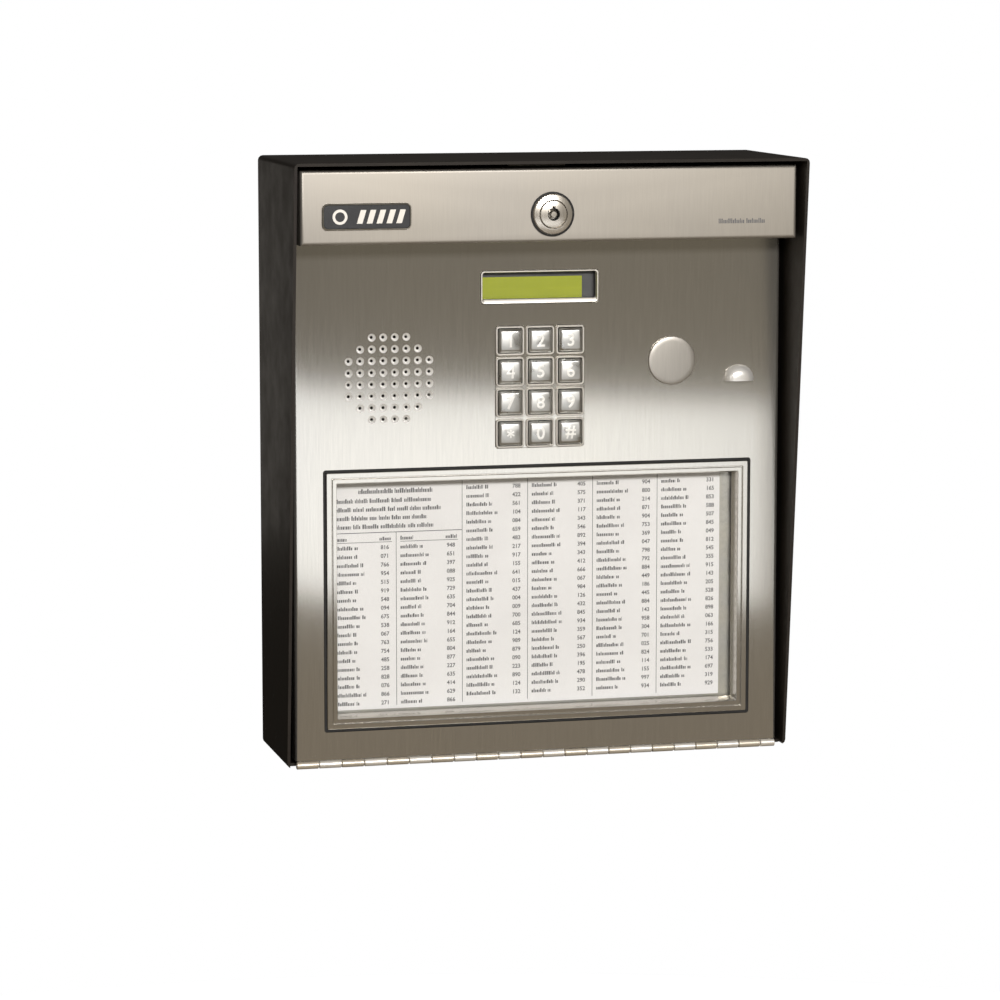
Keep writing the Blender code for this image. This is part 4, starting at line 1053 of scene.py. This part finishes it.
def directory():
    """Paper list, a little short of the window's right edge, printed in six ruled columns."""
    random.seed(7)
    rim, sheet = Place("directory_frame"), Place("directory_sheet")
    left, right = rim.left + FRAME_LIP, rim.right - FRAME_LIP
    top, bottom = rim.top - FRAME_LIP, rim.bottom + FRAME_LIP
    depths, foot = (-sheet.front, -sheet.back), bottom + 0.0030
    bm = box(bmesh.new(), (sheet.left, right - SHEET_SHORT), depths, (bottom + 0.0012, sheet.top))
    build("directory_list", bm, "paper", "door", "paper", "directory_sheet")
    marks, front = bmesh.new(), sheet.front
    start, panel = left - 0.0024, top - PANEL_HEIGHT
    for column in range(COLUMNS):
        x = start + column * COLUMN_PITCH
        first = panel - 0.0090 if column < 2 else top - 0.0052
        count = int((first - bottom - 0.0030) / ROW_PITCH) + 1
        for row in range(count):
            name = [random.uniform(0.0080, 0.0150), 0.0018]
            greeked(marks, front, x + INDENT, first - row * ROW_PITCH, name)
        code_column(marks, front, x + CODE_INDENT, first, count)
        if column:
            mark(marks, front, (x - 0.0011, x - 0.0011 + RULE), (foot, panel if column == 1 else top))
    for column in range(2):
        x, z = start + column * COLUMN_PITCH, panel - 0.0042
        greeked(marks, front, x + INDENT, z, [0.0070], 0.0022)
        greeked(marks, front, x + 0.0266, z, [0.0062], 0.0020)
        mark(marks, front, (x + INDENT, x + 0.0335), (z - 0.0010, z - 0.0010 + RULE))
    span = start + 2 * COLUMN_PITCH
    mark(marks, front, (left - 0.0010, span - 0.0012), (panel, panel + 0.0004))
    greeked(marks, front, start + 0.0150, top - 0.0060, [0.0190, 0.0210], 0.0026)
    for line, words in enumerate(PANEL_WORDS_MM):
        widths = [word / 1000 for word in words]
        greeked(marks, front, start + 0.0030, top - 0.0110 - line * PANEL_LINE, widths, 0.0024)
    build("directory_print", marks, "ink", "door", "paper")


HEADER_MARK_INSET = (0.0440, 0.0085)


def header_mark():
    """Small printed bar at the header's right: plain blocks, no words."""
    random.seed(3)
    bm, (inset, rise) = bmesh.new(), HEADER_MARK_INSET
    greeked(bm, HEADER.front, HEADER.right - inset, HEADER.bottom + rise, [0.0145, 0.0105], 0.0026)
    build("header_print", bm, "ink", "door", "badge")


def make_door():
    faceplate()
    grille_cups()
    header_strip()
    badge_plate()
    header_mark()
    lock_housing()
    lock_core()
    display()
    keypad_frame()
    for name in KEYS:
        key_cap(name)
        key_digit(name)
    blanking_disc()
    microphone_hood()
    hinge()
    directory_frame()
    directory()


# ---- Small parts on the main board ----

BOARD = Place("main_board")
# x, height above the board's middle, radius, height of each capacitor
CANS = (
    (-0.004, 0.050, 0.0042, 0.0120),
    (0.010, 0.052, 0.0032, 0.0095),
    (0.024, 0.048, 0.0050, 0.0150),
    (0.082, 0.006, 0.0042, 0.0120),
)
# x, height above the board's middle, half width, half height, legs to a side of each chip
CHIPS = (
    (-0.060, -0.004, 0.0110, 0.0045, 7),
    (-0.030, -0.006, 0.0075, 0.0045, 5),
    (0.052, -0.012, 0.0090, 0.0090, 8),
)
CAN_SIDES = 28
LEG_HALF_WIDTH = 0.0003
LEG_LENGTH = 0.0014
RESISTORS = 14
RESISTOR_PITCH = 0.0058
RESISTOR_RADIUS = 0.0009
RESISTOR_HALF_LENGTH = 0.0032
TERMINALS = 12
SCREW_RADIUS = 0.0015


def screw(bm, place, x):
    """Cheese-head screw with a bar across it, standing on a terminal."""
    z, front, head = place.z, place.front, circle(x, place.z, SCREW_RADIUS, 16)
    stack(bm, (head, front - 0.0006), (head, front - SEAT))
    box(bm, (x - 0.0013, x + 0.0013), (-front, -front + 0.00012), (z - 0.0002, z + 0.0002))


def board_parts():
    """Capacitors, chips on their legs, a row of resistors and the terminals' screws."""
    front = BOARD.front
    sleeves, tops = bmesh.new(), bmesh.new()
    for x, rise, radius, height in CANS:
        z, top = BOARD.z + rise, front + height
        walls = ((0.0, front + GAP), (0.0, top - 0.0004), (0.0004, top), (0.0009, top))
        lid = ((0.0011, top - 0.0002), (0.0014, top + 0.0001))
        for bm, profile in ((sleeves, walls), (tops, lid)):
            stack(bm, *((circle(x, z, radius - inset, CAN_SIDES), depth) for inset, depth in profile))
    build("capacitor_sleeves", sleeves, "black_plastic", "cabinet", "black_plastic")
    build("capacitor_tops", tops, "aluminium_can", "cabinet", "aluminium_can")
    bodies, legs = bmesh.new(), bmesh.new()
    for x, rise, half_width, half_height, count in CHIPS:
        z = BOARD.z + rise
        waist, crown = [rounded_rect(x, z, half_width - i, half_height - i, 0.0003, 2) for i in (0.0, 0.0004)]
        levels = ((crown, 0.0004), (waist, 0.0016), (waist, 0.0020), (crown, 0.0032))
        stack(bodies, *((outline, front + rise) for outline, rise in levels))
        for number in range(count):
            leg = x - half_width + (number + 0.5) * 2 * half_width / count
            for side in (-1, 1):
                span = sorted((z + side * half_height, z + side * (half_height + LEG_LENGTH)))
                sides = (leg - LEG_HALF_WIDTH, leg + LEG_HALF_WIDTH)
                box(legs, sides, (-front - 0.0018, -front - SEAT), span)
    build("chip_bodies", bodies, "black_plastic", "cabinet", "black_plastic")
    build("chip_legs", legs, "zinc", "cabinet", "zinc")
    beads, z = bmesh.new(), BOARD.z - 0.034
    spans = (z - RESISTOR_HALF_LENGTH, z + RESISTOR_HALF_LENGTH)
    for number in range(RESISTORS):
        x = BOARD.left + 0.020 + number * RESISTOR_PITCH
        outline = circle(x, -front - 0.0012, RESISTOR_RADIUS, 16)
        ends = [[beads.verts.new((i, y, at)) for i, y in outline] for at in spans]
        bridge(beads, *ends)
        beads.faces.new(ends[0])
        beads.faces.new(ends[1][::-1])
    build("resistors", beads, "resistor", "cabinet", "relay_plastic")
    screws = bmesh.new()
    for name in ("terminal_row_left", "terminal_row_right"):
        row = Place(name)
        for number in range(TERMINALS):
            screw(screws, row, row.left + (number + 0.5) * 2 * row.half_width / TERMINALS)
    build("terminal_screws", screws, "zinc", "cabinet", "zinc")


make_door()
board_parts()


# ---- Studio ----


def aim(obj, target):
    obj.rotation_mode = "QUATERNION"
    obj.rotation_quaternion = (target - obj.location).to_track_quat("-Z", "Y")


def direction(azimuth, elevation):
    """Unit vector from the part towards a viewer; azimuth 0 is straight in front."""
    return Vector((sin(azimuth) * cos(elevation), -cos(azimuth) * cos(elevation), sin(elevation)))


def softbox(name, place, target, size, watts, colour):
    light = bpy.data.lights.new(name, "AREA")
    light.shape = "RECTANGLE"
    light.size, light.size_y = size
    light.energy, light.color = watts, colour
    obj = bpy.data.objects.new(name, light)
    obj.location = place
    obj.visible_camera = False
    bpy.context.scene.collection.objects.link(obj)
    aim(obj, target)
    return obj


def make_world():
    """A dim warm room with a bright ceiling; the camera sees plain white."""
    world = bpy.data.worlds.new("studio")
    bpy.context.scene.world = world
    world.use_nodes = True
    nodes, links = world.node_tree.nodes, world.node_tree.links
    axes = nodes.new("ShaderNodeSeparateXYZ")
    links.new(nodes.new("ShaderNodeTexCoord").outputs["Generated"], axes.inputs[0])

    def rise(axis, start, end):
        made = nodes.new("ShaderNodeMapRange")
        made.interpolation_type = "SMOOTHSTEP"
        made.inputs["From Min"].default_value, made.inputs["From Max"].default_value = start, end
        links.new(axes.outputs[axis], made.inputs["Value"])
        return made.outputs["Result"]

    def blend(factor, first, second):
        return mix_colours(world.node_tree, factor, first, second).outputs[2]

    front = blend(rise("Z", -0.24, -0.12), ROOM_LOW, ROOM)
    level = blend(rise("Y", -0.35, 0.55), front, ROOM_BEHIND)
    lit = blend(rise("Z", 0.25, 0.80), level, CEILING)
    seen = nodes.new("ShaderNodeLightPath").outputs["Is Camera Ray"]
    links.new(blend(seen, lit, WHITE), nodes["Background"].inputs["Color"])


def make_floor(low, middle):
    bm = bmesh.new()
    bmesh.ops.create_circle(bm, cap_ends=True, segments=128, radius=FLOOR_RADIUS)
    bmesh.ops.translate(bm, verts=bm.verts, vec=(middle.x, middle.y, low.z - FLOOR_DROP))
    floor = object_of("floor", bm)
    look = Look("pale_floor", 0.9, 0.0, emission_strength=1.0)
    distance = look.node("ShaderNodeVectorMath", {0: look.place}, operation="LENGTH").outputs["Value"]
    glow = look.span(distance, 0.0, 1.0, FLOOR_DROP * 1.3, FLOOR_RADIUS)
    look.feed("Emission Color", look.blend(glow, (0.50, 0.50, 0.50), WHITE))
    speckle = look.noise(40.0, 3.0)
    look.colour(look.shaded(speckle, (0.80, 0.80, 0.80), (0.84, 0.84, 0.84)))
    floor.data.materials.append(look.material)
    floor.visible_diffuse = floor.visible_glossy = False


def make_camera(middle):
    camera = bpy.data.objects.new("camera", bpy.data.cameras.new("camera"))
    bpy.context.scene.collection.objects.link(camera)
    camera.data.lens = CAMERA_LENS_MM
    camera.data.sensor_width = 36.0
    target = middle + CAMERA_AIM
    camera.location = target + direction(CAMERA_AZIMUTH, CAMERA_ELEVATION) * CAMERA_DISTANCE
    aim(camera, target)
    bpy.context.scene.camera = camera


def make_studio():
    low, high = cad_box
    middle = (low + high) / 2
    make_world()
    make_floor(low, middle)
    make_camera(middle)
    face = middle + FACE_CENTRE
    lamps = {
        "key_light": (face, 2, 20, 2.2, (0.9, 0.30), 38.0, (1.0, 0.975, 0.95)),
        "rear_light": (middle, 135, -14, 2.2, (0.5, 0.5), 36.0, SOFT_WHITE),
        "fill_light": (face, -40, 12, 1.8, (0.6, 0.6), 1.6, SOFT_WHITE),
    }
    for name, (target, azimuth, elevation, reach, size, watts, colour) in lamps.items():
        place = target + direction(radians(azimuth), radians(elevation)) * reach
        softbox(name, place, target, size, watts, colour)
    side = Vector((low.x, high.y, high.z)) + SIDE_OFFSET
    softbox("side_light", side, Vector((low.x, low.y / 2, high.z)), (0.25, 0.30), 0.060, (1.0, 0.93, 0.84))
    band = Vector((0.09, -1.07, low.z + 0.0135))
    strip = softbox("band_light", band, band + Vector((0, 1, 0)), (0.86, 0.168), 0.725, (0.925, 0.96, 1.0))
    strip.rotation_quaternion = Quaternion((0, 1, 0), BAND_TILT) @ strip.rotation_quaternion
    bpy.context.scene.view_settings.view_transform = "Standard"


make_studio()
